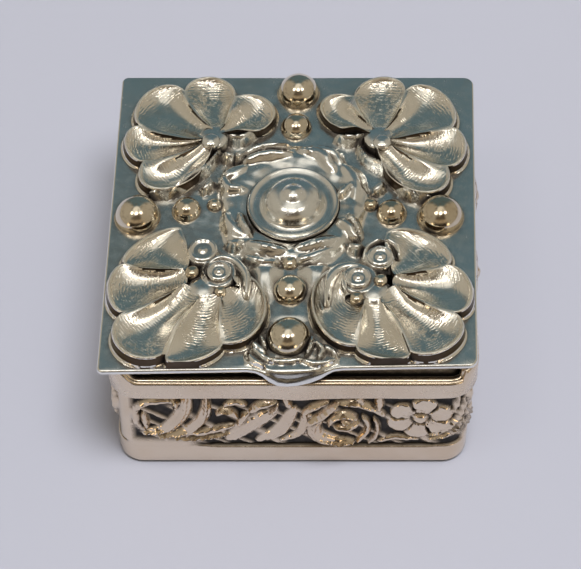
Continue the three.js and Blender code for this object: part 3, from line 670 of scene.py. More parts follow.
SHELLS = {
    "front_left": {
        "root": (-7.4, -7.8),
        "starts": [(-9.0, -4.4), (-9.4, -6.4), (-9.1, -8.1), (-7.7, -9.6), (-5.7, -9.5), (-4.3, -8.4)],
        "tips": [(-9.6, -1.9), (-14.0, -5.7), (-13.9, -10.7), (-10.2, -14.9), (-5.5, -13.8), (-4.6, -6.6)],
        "bends": [
            (-8.9, -4.2), (-11.85, -7.05), (-11.45, -10.7), (-9.6, -12.05), (-6.15, -12.3), (-5.4, -7.4),
        ],
        "crowns": [(-13.1, -3.3), (-15.4, -8.1), (-14.0, -14.4), (-8.1, -15.65), (-2.1, -10.9)],
        "lips": [0.95, 1.15, 1.25, 0.95, 1.05],
    },
    "front_right": {
        "root": (7.3, -7.8),
        "starts": [(4.7, -9.6), (6.3, -10.2), (7.8, -10.2), (9.1, -8.6), (9.3, -7.3), (8.9, -5.7)],
        "tips": [(4.0, -6.3), (5.7, -14.2), (10.2, -15.1), (13.9, -11.2), (13.3, -6.2), (8.2, -2.6)],
        "bends": [(5.2, -6.9), (6.2, -12.3), (9.2, -12.0), (10.65, -10.7), (11.2, -7.5), (7.6, -4.6)],
        "crowns": [(2.1, -10.7), (8.0, -15.7), (13.9, -14.4), (15.4, -8.8), (12.1, -3.1)],
        "lips": [1.0, 0.95, 1.2, 1.2, 1.0],
    },
    "back_left": {
        "root": (-7.4, 8.1),
        "starts": [(-6.4, 8.4), (-6.5, 9.0), (-7.4, 8.9), (-8.4, 7.7), (-8.5, 6.9), (-7.3, 6.9)],
        "tips": [(-3.4, 8.9), (-5.6, 12.8), (-10.1, 13.4), (-13.9, 9.5), (-13.3, 5.5), (-8.0, 4.8)],
        "bends": [(-5.1, 8.5), (-5.95, 10.55), (-9.65, 10.4), (-11.3, 7.3), (-11.25, 4.7), (-7.3, 6.0)],
        "crowns": [(-2.3, 11.9), (-7.7, 14.95), (-13.4, 13.2), (-15.0, 7.5), (-11.9, 2.4)],
        "lips": [0.95, 1.05, 1.1, 1.05, 1.1],
    },
    "back_right": {
        "root": (7.4, 8.1),
        "starts": [(6.4, 8.4), (6.7, 9.1), (8.0, 8.7), (8.6, 7.6), (8.6, 6.8), (7.2, 6.9)],
        "tips": [(4.0, 9.2), (5.2, 12.8), (9.7, 13.4), (13.8, 9.2), (13.4, 4.8), (7.8, 4.8)],
        "bends": [(5.4, 8.9), (4.7, 11.35), (9.45, 10.65), (10.95, 7.85), (11.2, 4.25), (7.2, 6.0)],
        "crowns": [(2.3, 12.1), (7.5, 14.95), (13.0, 13.1), (15.0, 6.7), (11.6, 1.8)],
        "lips": [0.95, 1.05, 1.1, 1.1, 1.1],
    },
}

# Rows from the crest of a shell down to the plate: step out, share of the lip's height, drop
SHELL_EDGE = [
    (0.07, 0.0, 0.01),
    (0.14, 0.0, 0.06),
    (0.20, 0.0, 0.16),
    (0.24, 0.28, 0.15),
    (0.27, 0.60, 0.08),
    (0.32, 0.81, 0.03),
    (0.39, 0.93, 0.0),
    (0.47, 1.0, 0.0),
    (0.54, 1.0, 0.04),
]

BEADS = [
    # x, y, radius
    (0.1, 14.0, 1.85), (0.0, 9.9, 1.4),
    (-13.6, 0.1, 1.95), (-9.3, 0.7, 1.25), (-6.9, 1.2, 0.7),
    (12.9, -0.2, 2.0), (8.6, 0.2, 1.3), (6.8, 1.1, 0.7),
    (0.0, -13.0, 1.9), (0.0, -8.1, 1.5), (-0.1, -5.2, 0.75),
]

VOLUTES = [
    # x, y, radius, height
    (-7.6, -4.6, 1.25, 1.6),
    (-6.1, -7.0, 1.05, 1.85),
    (7.65, -5.5, 1.1, 1.7),
    (5.8, -7.8, 1.1, 1.85),
]

VOLUTE = [
    # share of the radius, drop from the top
    (0.0, -0.02), (0.15, 0.01), (0.28, 0.10), (0.38, 0.19), (0.48, 0.22), (0.60, 0.18),
    (0.72, 0.07), (0.82, 0.0), (0.92, 0.03), (1.0, 0.14), (1.03, 0.5),
]

KNOBS = [
    # x, y, radius, height, share that the dome rounds off, whether it is polished
    (-7.5, 7.5, 0.85, 1.7, 0.6, False),
    (7.7, 7.3, 0.85, 1.7, 0.6, False),
    (-7.3, 8.1, 1.3, 1.4, 0.3, False),
    (7.4, 8.0, 1.3, 1.4, 0.3, False),
    (-7.4, -8.3, 1.35, 1.45, 0.4, False),
    (7.2, -8.9, 1.35, 1.45, 0.4, False),
    (-8.4, -6.9, 0.6, 1.85, 0.7, True),
    (7.7, -8.0, 0.6, 1.85, 0.7, True),
    (-5.9, -8.9, 0.5, 1.7, 0.7, True),
    (5.7, -9.7, 0.6, 1.7, 0.7, True),
]

BOSS = [
    # radius, height: the knob, the dome, the dished ring and its lip
    (0.0, 2.74), (0.25, 2.71), (0.5, 2.62), (0.72, 2.49), (0.88, 2.36), (1.0, 2.25), (1.12, 2.19),
    (1.3, 2.15), (1.6, 2.06), (1.9, 1.91), (2.15, 1.71), (2.35, 1.48), (2.5, 1.24), (2.61, 1.02),
    (2.71, 0.86), (2.83, 0.77), (3.0, 0.72), (3.25, 0.71), (3.5, 0.75), (3.68, 0.82),
    (3.80, 0.88), (3.88, 0.89), (3.95, 0.85), (4.0, 0.76), (4.05, 0.6),
    (4.04, ROOT_LEVEL), (0.0, ROOT_LEVEL),
]
UNDER_BOSS = [
    (0.0, 2.15), (1.0, 1.8), (1.8, 1.3), (2.3, 0.5), (3.4, 0.35), (3.9, 0.9), (4.3, 0.2),
    (5.6, 0.1), (6.0, -0.4), (6.0, HOLLOW_LEVEL), (0.0, HOLLOW_LEVEL),
]

FOLDS = [
    # the wreath's leaves: control points, half width, height, crease
    ([(-4.4, 5.6), (-2.9, 6.2), (-0.5, 6.4)], 0.62, 1.25, 0.0),
    ([(-4.7, 6.3), (-3.0, 7.3), (-0.6, 7.5)], 0.42, 1.0, 0.0),
    ([(0.4, 6.9), (2.3, 6.3), (3.4, 4.6)], 0.62, 1.25, 0.12),
    ([(1.3, 7.3), (3.2, 6.7), (4.2, 5.3)], 0.5, 1.05, 0.1),
    ([(4.3, 5.3), (5.3, 3.6), (5.4, 1.6)], 0.75, 0.95, 0.0),
    ([(3.9, 1.5), (4.4, 2.2), (5.0, 3.0)], 0.48, 1.3, 0.1),
    ([(4.0, -0.9), (4.9, -1.7), (5.6, -2.9)], 0.45, 1.15, 0.1),
    ([(4.9, -0.4), (5.5, -1.5), (5.9, -2.6)], 0.35, 1.2, 0.0),
    ([(0.4, -4.0), (2.0, -3.5), (3.9, -3.0)], 0.60, 1.2, 0.1),
    ([(0.5, -5.2), (1.9, -4.7), (3.4, -4.0)], 0.45, 0.95, 0.1),
    ([(-3.9, -3.4), (-2.2, -3.9), (-0.5, -4.2)], 0.58, 1.2, 0.1),
    ([(-4.0, -4.6), (-2.6, -5.1), (-1.1, -5.2)], 0.42, 0.9, 0.1),
    ([(-5.9, 0.0), (-5.3, -1.4), (-4.2, -2.5)], 0.60, 1.0, 0.0),
    ([(-4.6, -0.2), (-4.3, -1.4), (-3.6, -2.5)], 0.42, 1.25, 0.0),
    ([(-6.3, 3.9), (-5.7, 2.6), (-4.4, 2.6)], 0.55, 1.3, 0.1),
    ([(-6.3, 4.0), (-5.3, 4.6), (-4.3, 5.2)], 0.65, 0.95, 0.12),
    ([(-6.4, 6.4), (-5.9, 6.3), (-5.5, 6.0)], 0.42, 1.1, 0.0),
    ([(-5.3, 6.4), (-4.9, 6.2), (-4.6, 5.9)], 0.4, 1.1, 0.0),
    ([(-5.6, -3.2), (-4.9, -3.4), (-4.3, -3.1)], 0.42, 1.1, 0.12),
    ([(5.0, -3.5), (5.6, -3.9), (6.1, -3.6)], 0.4, 1.0, 0.1),
    # the lips along the back shells' inner sides
    ([(-12.6, 2.2), (-10.6, 2.5), (-9.2, 3.9), (-7.8, 5.0), (-6.7, 6.9)], 0.36, 1.2, 0.0),
    ([(12.0, 1.6), (10.2, 1.9), (9.1, 3.4), (8.0, 4.9), (6.3, 6.0), (5.6, 7.5)], 0.34, 1.2, 0.0),
    ([(-6.6, 8.6), (-4.9, 8.3), (-3.6, 9.3)], 0.4, 1.1, 0.0),
    ([(6.4, 8.6), (4.9, 8.2), (3.6, 8.4)], 0.36, 1.1, 0.0),
    # small bosses between the beads and the shells
    ([(7.0, 2.2), (7.9, 3.2)], 0.4, 0.9, 0.0),
    ([(-8.0, 2.6), (-7.2, 3.6)], 0.4, 0.8, 0.0),
    ([(2.6, -6.6), (2.2, -8.4), (2.3, -10.2)], 0.3, 0.5, 0.0),
    ([(-2.7, -6.6), (-2.3, -8.4), (-2.2, -10.2)], 0.3, 0.5, 0.0),
]

TAB_FOLDS = [
    # the crumpled leaf round the front bead
    ([(-3.3, -13.4), (-2.6, -14.0), (-1.9, -14.7)], 0.38, 0.75, 0.0),
    ([(-2.9, -14.2), (-2.1, -14.9), (-1.3, -15.5)], 0.34, 0.7, 0.0),
    ([(-3.6, -14.3), (-3.0, -15.2), (-2.0, -15.9)], 0.34, 0.55, 0.0),
    ([(-2.4, -12.9), (-2.1, -13.6), (-1.9, -14.1)], 0.3, 0.9, 0.0),
    ([(2.0, -13.1), (1.9, -14.0), (1.6, -14.9)], 0.3, 0.95, 0.0),
    ([(2.3, -13.6), (2.9, -14.3), (2.6, -15.3)], 0.34, 0.8, 0.0),
    ([(2.9, -13.9), (3.7, -14.4), (4.2, -15.0)], 0.34, 0.65, 0.0),
    ([(1.4, -15.4), (2.5, -15.7), (3.7, -15.5)], 0.32, 0.55, 0.0),
    ([(-1.6, -15.2), (-0.4, -15.4), (1.2, -15.3)], 0.34, 0.5, 0.0),
]

TAB_OUTLINE = [
    (-3.4, -16.0), (-2.7, -16.12), (-2.1, -16.4), (-1.5, -16.72), (-0.8, -16.95), (0.0, -17.02),
    (0.9, -16.97), (1.9, -16.82), (2.8, -16.6), (3.4, -16.35), (3.9, -16.1), (4.6, -16.0),
]


SHELL_KEYS = ("root", "starts", "tips", "bends", "crowns", "lips")


def bezier(start, bend, end, t):
    """A point on a curve from start to end, drawn towards bend."""
    t = t[:, None]
    return (1 - t) ** 2 * start + 2 * t * (1 - t) * bend + t**2 * end


def shell_surface(shell, lobe, angle, t, inset):
    """Points on a scallop shell: lobe number, angle across the lobe and share of the way out."""
    root, starts, tips, bends, crowns, lips = [np.array(shell[key]) for key in SHELL_KEYS]

    def ridge(index):
        return bezier(starts[index], bends[index], tips[index], t)

    left, right = ridge(lobe), ridge(lobe + 1)
    middle = (left + right) / 2.0
    start = (starts[lobe] + starts[lobe + 1]) / 2.0
    start = start + 0.25 * (root - start)
    axis = start + (crowns[lobe] - start) * t[:, None]
    across = -np.cos(angle)[:, None]
    bulge = np.sin(angle)[:, None]
    half = (right - left) / 2.0
    flat = middle + half * across + (axis - middle) * bulge
    ridge_rise = SHELL_ROOT_HEIGHT + (SHELL_RIDGE_HEIGHT - SHELL_ROOT_HEIGHT) * np.sin(
        math.pi * np.minimum(t, 0.5)
    )
    lip = lips[lobe] - 0.1 * (1.0 - np.sin(angle))
    top = ridge_rise + (lip - ridge_rise) * smooth(0.4, 1.0, t)
    length = np.linalg.norm(crowns[lobe] - start, axis=1)
    to_ridge = (1.0 - np.abs(across[:, 0])) * np.linalg.norm(half, axis=1)
    to_lip = (1.0 - t) * length
    scoop = SHELL_SCOOP * np.clip(1.0 - np.abs(2.0 * t**1.1 - 1.0) ** 2.4, 0.0, 1.0)
    height = top - scoop * (1.0 - across[:, 0] ** 2) ** 0.85
    if inset == 0.0:
        line = hump(to_ridge, 0.0, SHELL_LINE_WIDTH) + hump(to_lip, 0.0, SHELL_LINE_WIDTH)
        height = height + SHELL_LINE * np.minimum(line, 1.0)
    outward = flat - root
    outward /= np.linalg.norm(outward, axis=1)[:, None]
    return flat - inset * outward, height, outward, lip


def make_shell(shell, across_steps, out_steps, inset):
    """One scallop shell as a closed solid that reaches into the plate."""
    lobes = len(shell["lips"])
    edge = SHELL_EDGE if inset == 0.0 else []
    rows = out_steps + len(edge)

    def place(column, row):
        lobe = np.minimum(column // across_steps, lobes - 1)
        angle = math.pi * (column - lobe * across_steps) / across_steps
        t = 1.0 - (1.0 - np.minimum(row / out_steps, 1.0)) ** 1.5
        flat, height, outward, lip = shell_surface(shell, lobe, angle, t, inset)
        height = height - inset
        if edge:
            number = np.clip(row - out_steps - 1, 0, len(edge) - 1)
            table = np.array(edge)
            past = row > out_steps
            step = np.where(past, table[number, 0], 0.0)
            fall = table[number, 1] * lip + table[number, 2]
            flat = np.clip(flat + outward * step[:, None], -SHELL_LIMIT, SHELL_LIMIT)
            height = np.where(past, height - fall, height)
        return np.column_stack([flat, height])

    bm = shape_grid(lobes * across_steps, rows, place)
    return close_below(bm, ROOT_LEVEL if inset == 0.0 else HOLLOW_LEVEL)


def bead_profile(radius):
    """A bead's profile: a half ball that runs into the plate through a small hollow."""
    points = []
    steps = max(10, int(radius * 14))
    limit = math.radians(86.0)
    for i in range(steps + 1):
        angle = limit * i / steps
        points.append((radius * math.sin(angle), radius * math.cos(angle)))
    foot = radius * math.sin(limit)
    level = radius * math.cos(limit)
    points += [(foot + 0.02, level * 0.4), (foot + 0.06, 0.02), (foot + 0.1, -0.02)]
    return points + [(foot + 0.1, ROOT_LEVEL), (0.0, ROOT_LEVEL)]


def volute_profile(radius, height):
    """A curled end of a shell: a round button with a raised rim, a groove and a raised middle."""
    points = [(radius * share, height - drop) for share, drop in VOLUTE]
    points += [(radius * 1.08, 0.5), (radius * 1.15, 0.0), (radius * 1.15, ROOT_LEVEL), (0.0, ROOT_LEVEL)]
    return points


def hollow_profile(radius):
    """The round hollow under a bead."""
    turns = (0.4, 0.8, 1.2, math.pi / 2.0)
    points = [(0.0, radius)] + [(radius * math.sin(a), radius * math.cos(a)) for a in turns]
    return points + [(radius, HOLLOW_LEVEL), (0.0, HOLLOW_LEVEL)]


def knob_profile(radius, height, share):
    """A knob's profile: a dome that rounds off a share of its radius, on straight sides."""
    turns = [math.radians(a) for a in range(0, 90, 8)]
    points = [(radius * math.sin(a), height - share * radius * (1.0 - math.cos(a))) for a in turns]
    return points + [(radius, ROOT_LEVEL), (0.0, ROOT_LEVEL)]


def collar(x, y):
    """The low, smooth ground that the wreath's leaves stand on."""
    distance = np.hypot(x, y - BOSS_Y)
    angle = np.arctan2(y - BOSS_Y, x)
    reach = COLLAR_REACH + 0.25 * np.sin(5.0 * angle + 0.8) + 0.15 * np.sin(9.0 * angle)
    ground = COLLAR_HEIGHT + WREATH_RISE * hump(distance, WREATH_RADIUS, WREATH_HALF)
    ground = ground * fade(reach - 0.7, reach + 0.1, distance)
    upright_arm = 0.38 * hump(x, 0.0, 2.4) * fade(10.5, 12.0, np.abs(y))
    level_arm = 0.3 * hump(y, 0.6, 1.8) * fade(8.5, 10.5, np.abs(x))
    ramp = RAMP_RISE * smooth(-10.5, -6.0, y) * fade(-5.9, -5.2, y)
    ramp = ramp * fade(2.6, 4.0, np.abs(x)) * (0.25 + 0.75 * smooth(0.4, 1.9, np.abs(x)))
    return highest(ground, np.maximum(upright_arm, level_arm) - 0.12, ramp)


def field_relief(x, y):
    """The relief of the lid between the shells: collar, wreath, lips and small folds."""
    ground = collar(x, y) * (1.0 + 0.12 * ripple(x, y, 1.1, 1.0)) + 0.03 * ripple(x, y, 0.8, 4.0)
    folds = highest(*[
        strand(x, y, controls, FOLD_SPREAD * half_width, FOLD_RISE * height, crease, blunt=0.5, full=1.1)
        for controls, half_width, height, crease in FOLDS
    ])
    folds = folds * (1.0 + 0.06 * ripple(x, y, 0.7, 3.0))
    blend = FOLD_BLEND
    mixed = np.logaddexp(ground / blend, folds / blend) * blend - blend * math.log(2.0)
    edge = smooth(0.0, 0.6, FIELD_HALF - np.maximum(np.abs(x), np.abs(y)))
    return mixed * edge - 0.04 * (1.0 - edge)


def make_field():
    """The embossed ground of the lid between the shells."""
    step = 2.0 * FIELD_HALF / FIELD_STEPS

    def place(column, row):
        x = -FIELD_HALF + step * column
        y = -FIELD_HALF + step * row
        return np.column_stack([x, y, field_relief(x, y)])

    return close_below(shape_grid(FIELD_STEPS, FIELD_STEPS, place))


def make_tab_leaf():
    """The crumpled leaf round the front bead, down to the thumb tab."""
    columns, rows = 84, 44
    left, right, back, inside = -4.3, 4.9, -12.2, 0.22
    outline = np.array(TAB_OUTLINE)

    def place(column, row):
        x = left + (right - left) * column / columns
        front = np.interp(x, outline[:, 0], outline[:, 1]) + inside
        y = front + (back - front) * row / rows
        folds = highest(*[strand(x, y, *fold, blunt=0.45, full=0.7) for fold in TAB_FOLDS])
        crumple = (0.04 * ripple(x, y, 0.35, 4.0) + 0.10 * ripple(x, y, 0.7, 7.0)) * smooth(-16.2, -15.0, y)
        across = smooth(0.0, 0.8, x - left) * smooth(0.0, 0.8, right - x)
        deep = smooth(0.0, 0.35, y - front) * smooth(0.0, 0.5, back - y)
        narrow = fade(3.3, 4.4, np.abs(x - 0.4))
        height = (0.2 + folds * 0.75 + crumple) * across * deep * narrow
        return np.column_stack([x, y, height - 0.03])

    return close_below(shape_grid(columns, rows, place))


SCROLLS = [
    # middle of the patch, its mounds, then its strands: control points, half width, height
    ((-6.3, -6.2), [(-6.2, -7.0, 1.9), (-7.6, -4.8, 1.6)], [
        ([(-3.7, -9.0), (-3.8, -7.2), (-4.8, -5.8), (-6.1, -5.4), (-7.1, -6.0)], 0.62, 1.8),
        ([(-7.0, -5.9), (-7.5, -6.9), (-6.9, -8.0)], 0.22, 1.85),
    ]),
    ((6.3, -6.9), [(5.9, -7.8, 1.9), (7.6, -5.5, 1.6)], [
        ([(3.1, -9.7), (3.1, -8.1), (3.9, -6.8), (5.0, -6.3), (6.3, -6.4)], 0.8, 1.7),
        ([(6.3, -5.6), (6.6, -4.3), (7.8, -3.6), (8.9, -4.1), (9.3, -5.3)], 0.42, 1.65),
    ]),
]


def make_scroll(centre, mounds, strands):
    """The curled ends of a front shell: strands that roll up on a smooth mound."""

    def place(column, row):
        x = centre[0] - SCROLL_REACH + 2.0 * SCROLL_REACH * column / SCROLL_STEPS
        y = centre[1] - SCROLL_REACH + 2.0 * SCROLL_REACH * row / SCROLL_STEPS
        mound = highest(*[
            SCROLL_MOUND * fade(reach - 0.5, reach + 0.3, np.hypot(x - middle_x, y - middle_y))
            for middle_x, middle_y, reach in mounds
        ])
        rolls = highest(*[strand(x, y, *roll, blunt=0.35, full=0.5) for roll in strands])
        height = np.maximum(mound, rolls)
        edge = smooth(0.0, 0.4, SCROLL_REACH - np.maximum(np.abs(x - centre[0]), np.abs(y - centre[1])))
        return np.column_stack([x, y, height * edge - 0.05])

    return close_below(shape_grid(SCROLL_STEPS, SCROLL_STEPS, place))


LID_CORNERS = [
    # side in x, side in y, radius, where its arc starts in half turns
    (1, -1, 0.8, -0.5),
    (1, 1, 0.95, 0.0),
    (-1, 1, 0.6, 0.5),
    (-1, -1, 0.5, 1.0),
]


def make_plate():
    """The lid's sheet: a square with small round corners, a thumb tab and softened edges."""
    outline = []
    for side_x, side_y, radius, turn in LID_CORNERS:
        centre_x = side_x * (LID_HALF - radius)
        centre_y = side_y * (LID_HALF - radius)
        for i in range(7):
            angle = math.pi * (turn + 0.5 * i / 6)
            outline.append((centre_x + radius * math.cos(angle), centre_y + radius * math.sin(angle)))
    return level_sheet(outline + TAB_OUTLINE, -LID_SHEET, LID_SHEET, LID_SOFTENED, 4)


def out_of_square(mesh):
    """The lid was cut by hand: leans it a little out of square and puts it in its place."""
    for vert in mesh.vertices:
        x, y, z = vert.co
        towards_front = 0.5 - y / (2.0 * LID_HALF)
        z -= TAB_DROP * float(smooth(TAB_BEND, TAB_TIP, -y)) * (z < 1.0)
        vert.co = (
            x + LID_SHEAR * y,
            y + LID_FRONT_SLOPE * x * towards_front + LID_CENTRE_Y,
            z + LID_TOP,
        )


def mark_crests(lid):
    """Notes on each point of the lid how near it is to a shell's ridges and lip, worn by handling and
    lightened there as a painted highlight.
    """
    along = np.linspace(0.0, 1.0, 160)
    spots = []
    for shell in SHELLS.values():
        for lobe in range(len(shell["lips"])):
            lobes = np.full(len(along), lobe)
            for across in (0.0, math.pi):
                flat, height, _, _ = shell_surface(shell, lobes, np.full(len(along), across), along, 0.0)
                spots.append(np.column_stack([flat, height])[along > 0.12])
            flat, height, _, _ = shell_surface(shell, lobes, math.pi * along, np.ones(len(along)), 0.0)
            spots.append(np.column_stack([flat, height]))
    points = np.vstack(spots)
    tree = KDTree(len(points))
    for number, point in enumerate(points):
        tree.insert(point, number)
    tree.balance()
    gaps = np.array([tree.find(vert.co)[2] for vert in lid.data.vertices])
    crest = lid.data.attributes.new("crest", "FLOAT", "POINT")
    crest.data.foreach_set("value", fade(CREST_HALF, CREST_FADE, gaps).astype(np.float32))


def shell_solids():
    """The four shells, with painted shade on their steep sides, and the hollows under them."""
    raised, sunk = [], []
    steep = 0.4
    for name, shell in SHELLS.items():
        solid = as_object(make_shell(shell, *SHELL_STEPS, 0.0), "shell_" + name, CHASED)
        for face in solid.data.polygons:
            # Steep faces take the dark slot: painted shade on the shells' sides.
            if abs(face.normal.z) < steep:
                face.material_index = STEEP_SHADE
        raised.append(solid)
        sunk.append(as_object(make_shell(shell, *HOLLOW_STEPS, LID_SHEET), "hollow_" + name))
    return raised, sunk


def bead_solids():
    """The beads, and the hollows under those that have room for one."""
    raised, sunk = [], []
    least_hollow = 0.5
    for i, (x, y, radius) in enumerate(BEADS):
        ball = spun(bead_profile(radius), int(24 + 16 * radius), (x, y))
        raised.append(as_object(ball, f"bead_{i}", BRIGHT))
        inner = radius - LID_SHEET
        if inner > least_hollow:
            hollow = spun(hollow_profile(inner), BEAD_HOLLOW_STEPS, (x, y))
            sunk.append(as_object(hollow, f"bead_hollow_{i}"))
    return raised, sunk


def curl_solids():
    """The curled ends of the front shells, and the knobs of all four."""
    raised = [as_object(make_scroll(*scroll), f"scroll_{i}") for i, scroll in enumerate(SCROLLS)]
    for i, (x, y, radius, height) in enumerate(VOLUTES):
        volute = spun(volute_profile(radius, height), CURL_STEPS, (x, y))
        raised.append(as_object(volute, f"volute_{i}"))
    for i, (x, y, radius, height, share, polished) in enumerate(KNOBS):
        knob = spun(knob_profile(radius, height, share), CURL_STEPS, (x, y))
        raised.append(as_object(knob, f"knob_{i}", BRIGHT if polished else PLAIN))
    return raised


def make_lid():
    """The struck lid: one sheet with its shells, beads, boss and wreath, hollow underneath."""
    base = as_object(make_plate(), "lid_relief")
    ground = [
        as_object(make_field(), "field"),
        as_object(make_tab_leaf(), "tab_leaf"),
        as_object(spun(BOSS, BOSS_STEPS, (0.0, BOSS_Y)), "boss"),
    ]
    shells, shell_hollows = shell_solids()
    beads, bead_hollows = bead_solids()
    under_boss = as_object(spun(UNDER_BOSS, UNDER_BOSS_STEPS, (0.0, BOSS_Y)), "under_boss")
    raised = ground + shells + beads + curl_solids()
    lid = cut_and_join(base, raised, shell_hollows + bead_hollows + [under_boss])
    mark_crests(lid)
    out_of_square(lid.data)
    return lid


# The hinge


def make_knuckle(name, on_lid):
    """A hinge tube with the square foot that solders it to its band or plate."""
    low, high = box_of(name)
    start, length = low.x, high.x - low.x
    steps = 40
    up = 1.0 if on_lid else -1.0
    outer = []
    for i in range(steps):
        angle = 2.0 * math.pi * i / steps
        y = KNUCKLE_RADIUS * math.cos(angle)
        z = KNUCKLE_RADIUS * math.sin(angle)
        inside = -KNUCKLE_RADIUS <= y <= (KNUCKLE_RADIUS / 2 if on_lid else 0.0) and z * up > 0.0
        if inside:
            scale = min(KNUCKLE_FOOT / max(abs(z), LEVEL), KNUCKLE_RADIUS / max(abs(y), LEVEL))
            y, z = y * scale, z * scale
        outer.append((y, z))
    turns = np.arange(steps) * 2.0 * math.pi / steps
    bore = [(BORE_RADIUS * math.cos(a), BORE_RADIUS * math.sin(a)) for a in turns]
    bm = bmesh.new()
    rings = []
    for ring in (outer, bore):
        verts = [bm.verts.new((start, HINGE_Y + y, HINGE_Z + z)) for y, z in ring]
        rings.append([bm.edges.new((verts[i], verts[(i + 1) % steps])) for i in range(steps)])
    extrude(bm, bmesh.ops.bridge_loops(bm, edges=rings[0] + rings[1])["faces"], (length, 0.0, 0.0))
    square = 1.2
    ends = [
        e for e in bm.edges
        if abs(e.verts[0].co.x - e.verts[1].co.x) < LEVEL and e.calc_face_angle(0.0) > square
    ]
    bmesh.ops.bevel(
        bm, geom=ends, offset=0.07, segments=3, profile=0.5, affect="EDGES", material=-1, clamp_overlap=True
    )
    return bm


def make_pin():
    """The hinge wire, its two ends slightly domed."""
    low, high = PIN_LOW, PIN_HIGH
    radius = (high.z - low.z) / 2.0
    half = (high.x - low.x) / 2.0
    profile = [(0.0, half), (0.6 * radius, half - 0.02), (0.9 * radius, half - 0.09), (radius, half - 0.2)]
    profile += [(r, -z) for r, z in reversed(profile)]
    bm = spun(profile, 32)
    bmesh.ops.rotate(bm, cent=(0, 0, 0), matrix=Matrix.Rotation(math.pi / 2.0, 3, "Y"), verts=bm.verts)
    bmesh.ops.translate(bm, vec=((low.x + high.x) / 2.0, HINGE_Y, HINGE_Z), verts=bm.verts)
    return bm


def make_flange():
    """The closing frame under the lid, a bent strip with softened edges."""
    low, high = box_of("lid_flange")
    centre_y = (high.y + low.y) / 2.0
    wall, corner = 0.45, 1.45
    steps, corner_steps = (30, 30, 30, 30), 10
    stations = ring_stations(high.x, (high.y - low.y) / 2.0, corner, steps, corner_steps)
    profile = [
        (0.0, low.z + 0.1), (0.0, high.z - 0.03), (-0.03, high.z), (-wall + 0.03, high.z),
        (-wall, high.z - 0.03), (-wall, low.z + 0.1), (-wall + 0.08, low.z + 0.02),
        (-wall / 2.0, low.z), (-0.08, low.z + 0.02),
    ]
    table = np.array(profile)

    def place(column, row):
        return table[row, 0], table[row, 1]

    bm = ring_loft(stations, len(profile), place)
    bmesh.ops.translate(bm, vec=(0.0, centre_y, 0.0), verts=bm.verts)
    return bm


def make_base():
    """The base sheet: a flat rounded square with softened edges."""
    low, high = box_of("base_plate")
    corner, softened = 1.63, 0.08
    steps, corner_steps = (24, 24, 24, 24), 8
    stations = ring_stations(high.x, high.y, corner, steps, corner_steps)
    return level_sheet(stations[:, :2], low.z, high.z - low.z, softened, 3)


# Materials


def opaque(colour):
    """A colour with full cover."""
    return (*colour, 1.0)


class NodeMaker:
    """Adds nodes to the tree of a new material or world, and links them."""

    def __init__(self, owner):
        owner.use_nodes = True
        self.tree = owner.node_tree
        self.tree.nodes.clear()

    def feed(self, socket, value):
        """Links a socket to the one it is given, or sets its value."""
        if isinstance(value, bpy.types.NodeSocket):
            self.tree.links.new(value, socket)
        else:
            socket.default_value = value

    def node(self, kind, settings=None, inputs=None):
        """Adds a node with its settings and what goes into it."""
        made = self.tree.nodes.new(kind)
        for key, value in (settings or {}).items():
            setattr(made, key, value)
        for key, value in (inputs or {}).items():
            self.feed(made.inputs[key], value)
        return made

    def maths(self, operation, a, b=0.0, c=0.0):
        return self.node("ShaderNodeMath", {"operation": operation}, {0: a, 1: b, 2: c}).outputs[0]

    def band(self, value, low, high, to_low=0.0, to_high=1.0):
        """A smooth step from to_low, where the value is low, to to_high, where it is high."""
        limits = {"From Min": low, "From Max": high, "To Min": to_low, "To Max": to_high}
        made = self.node(
            "ShaderNodeMapRange", {"interpolation_type": "SMOOTHSTEP"}, {"Value": value, **limits}
        )
        return made.outputs["Result"]

    def noise(self, vector, per_mm, detail=3.0, roughness=0.55):
        """Soft noise, its scale given for a millimetre."""
        inputs = {"Vector": vector, "Scale": per_mm / MM, "Detail": detail, "Roughness": roughness}
        return self.node("ShaderNodeTexNoise", inputs=inputs).outputs["Fac"]

    def mix(self, share, a, b):
        return self.node("ShaderNodeMix", {"data_type": "RGBA"}, {0: share, 6: a, 7: b}).outputs[2]

    def distance(self, vector, point):
        made = self.node("ShaderNodeVectorMath", {"operation": "DISTANCE"}, {0: vector, 1: point})
        return made.outputs["Value"]

    def attribute(self, name):
        """A value that is noted on the points of a mesh."""
        return self.node("ShaderNodeAttribute", {"attribute_name": name}).outputs["Fac"]

    def paint(self, inputs):
        """The last shader of a material, linked to its output."""
        shader = self.node("ShaderNodeBsdfPrincipled", inputs=inputs)
        self.node("ShaderNodeOutputMaterial", inputs={"Surface": shader.outputs["BSDF"]})


def chasing_marks(make, position):
    """Rows of short punch marks round the root of the nearest shell."""
    nearest = None
    for shell in SHELLS.values():
        x, y = shell["root"]
        root = ((x + LID_SHEAR * y) * MM, (y + LID_CENTRE_Y) * MM, (LID_TOP + 1.0) * MM)
        distance = make.distance(position, root)
        nearest = distance if nearest is None else make.maths("MINIMUM", nearest, distance)
    wobble = make.maths("MULTIPLY", make.noise(position, 0.9, 2.0), MARK_WOBBLE)
    phase = make.maths("MULTIPLY_ADD", nearest, 2.0 * math.pi / (MARK_PITCH * MM), wobble)
    breaks = make.band(make.noise(position, 2.6, 2.0), 0.42, 0.62, 0.05, 1.6)
    patches = make.band(make.noise(position, 0.32, 1.0), 0.40, 0.60, 0.25, 1.0)
    return make.maths("MULTIPLY", make.maths("SINE", phase), make.maths("MULTIPLY", breaks, patches))


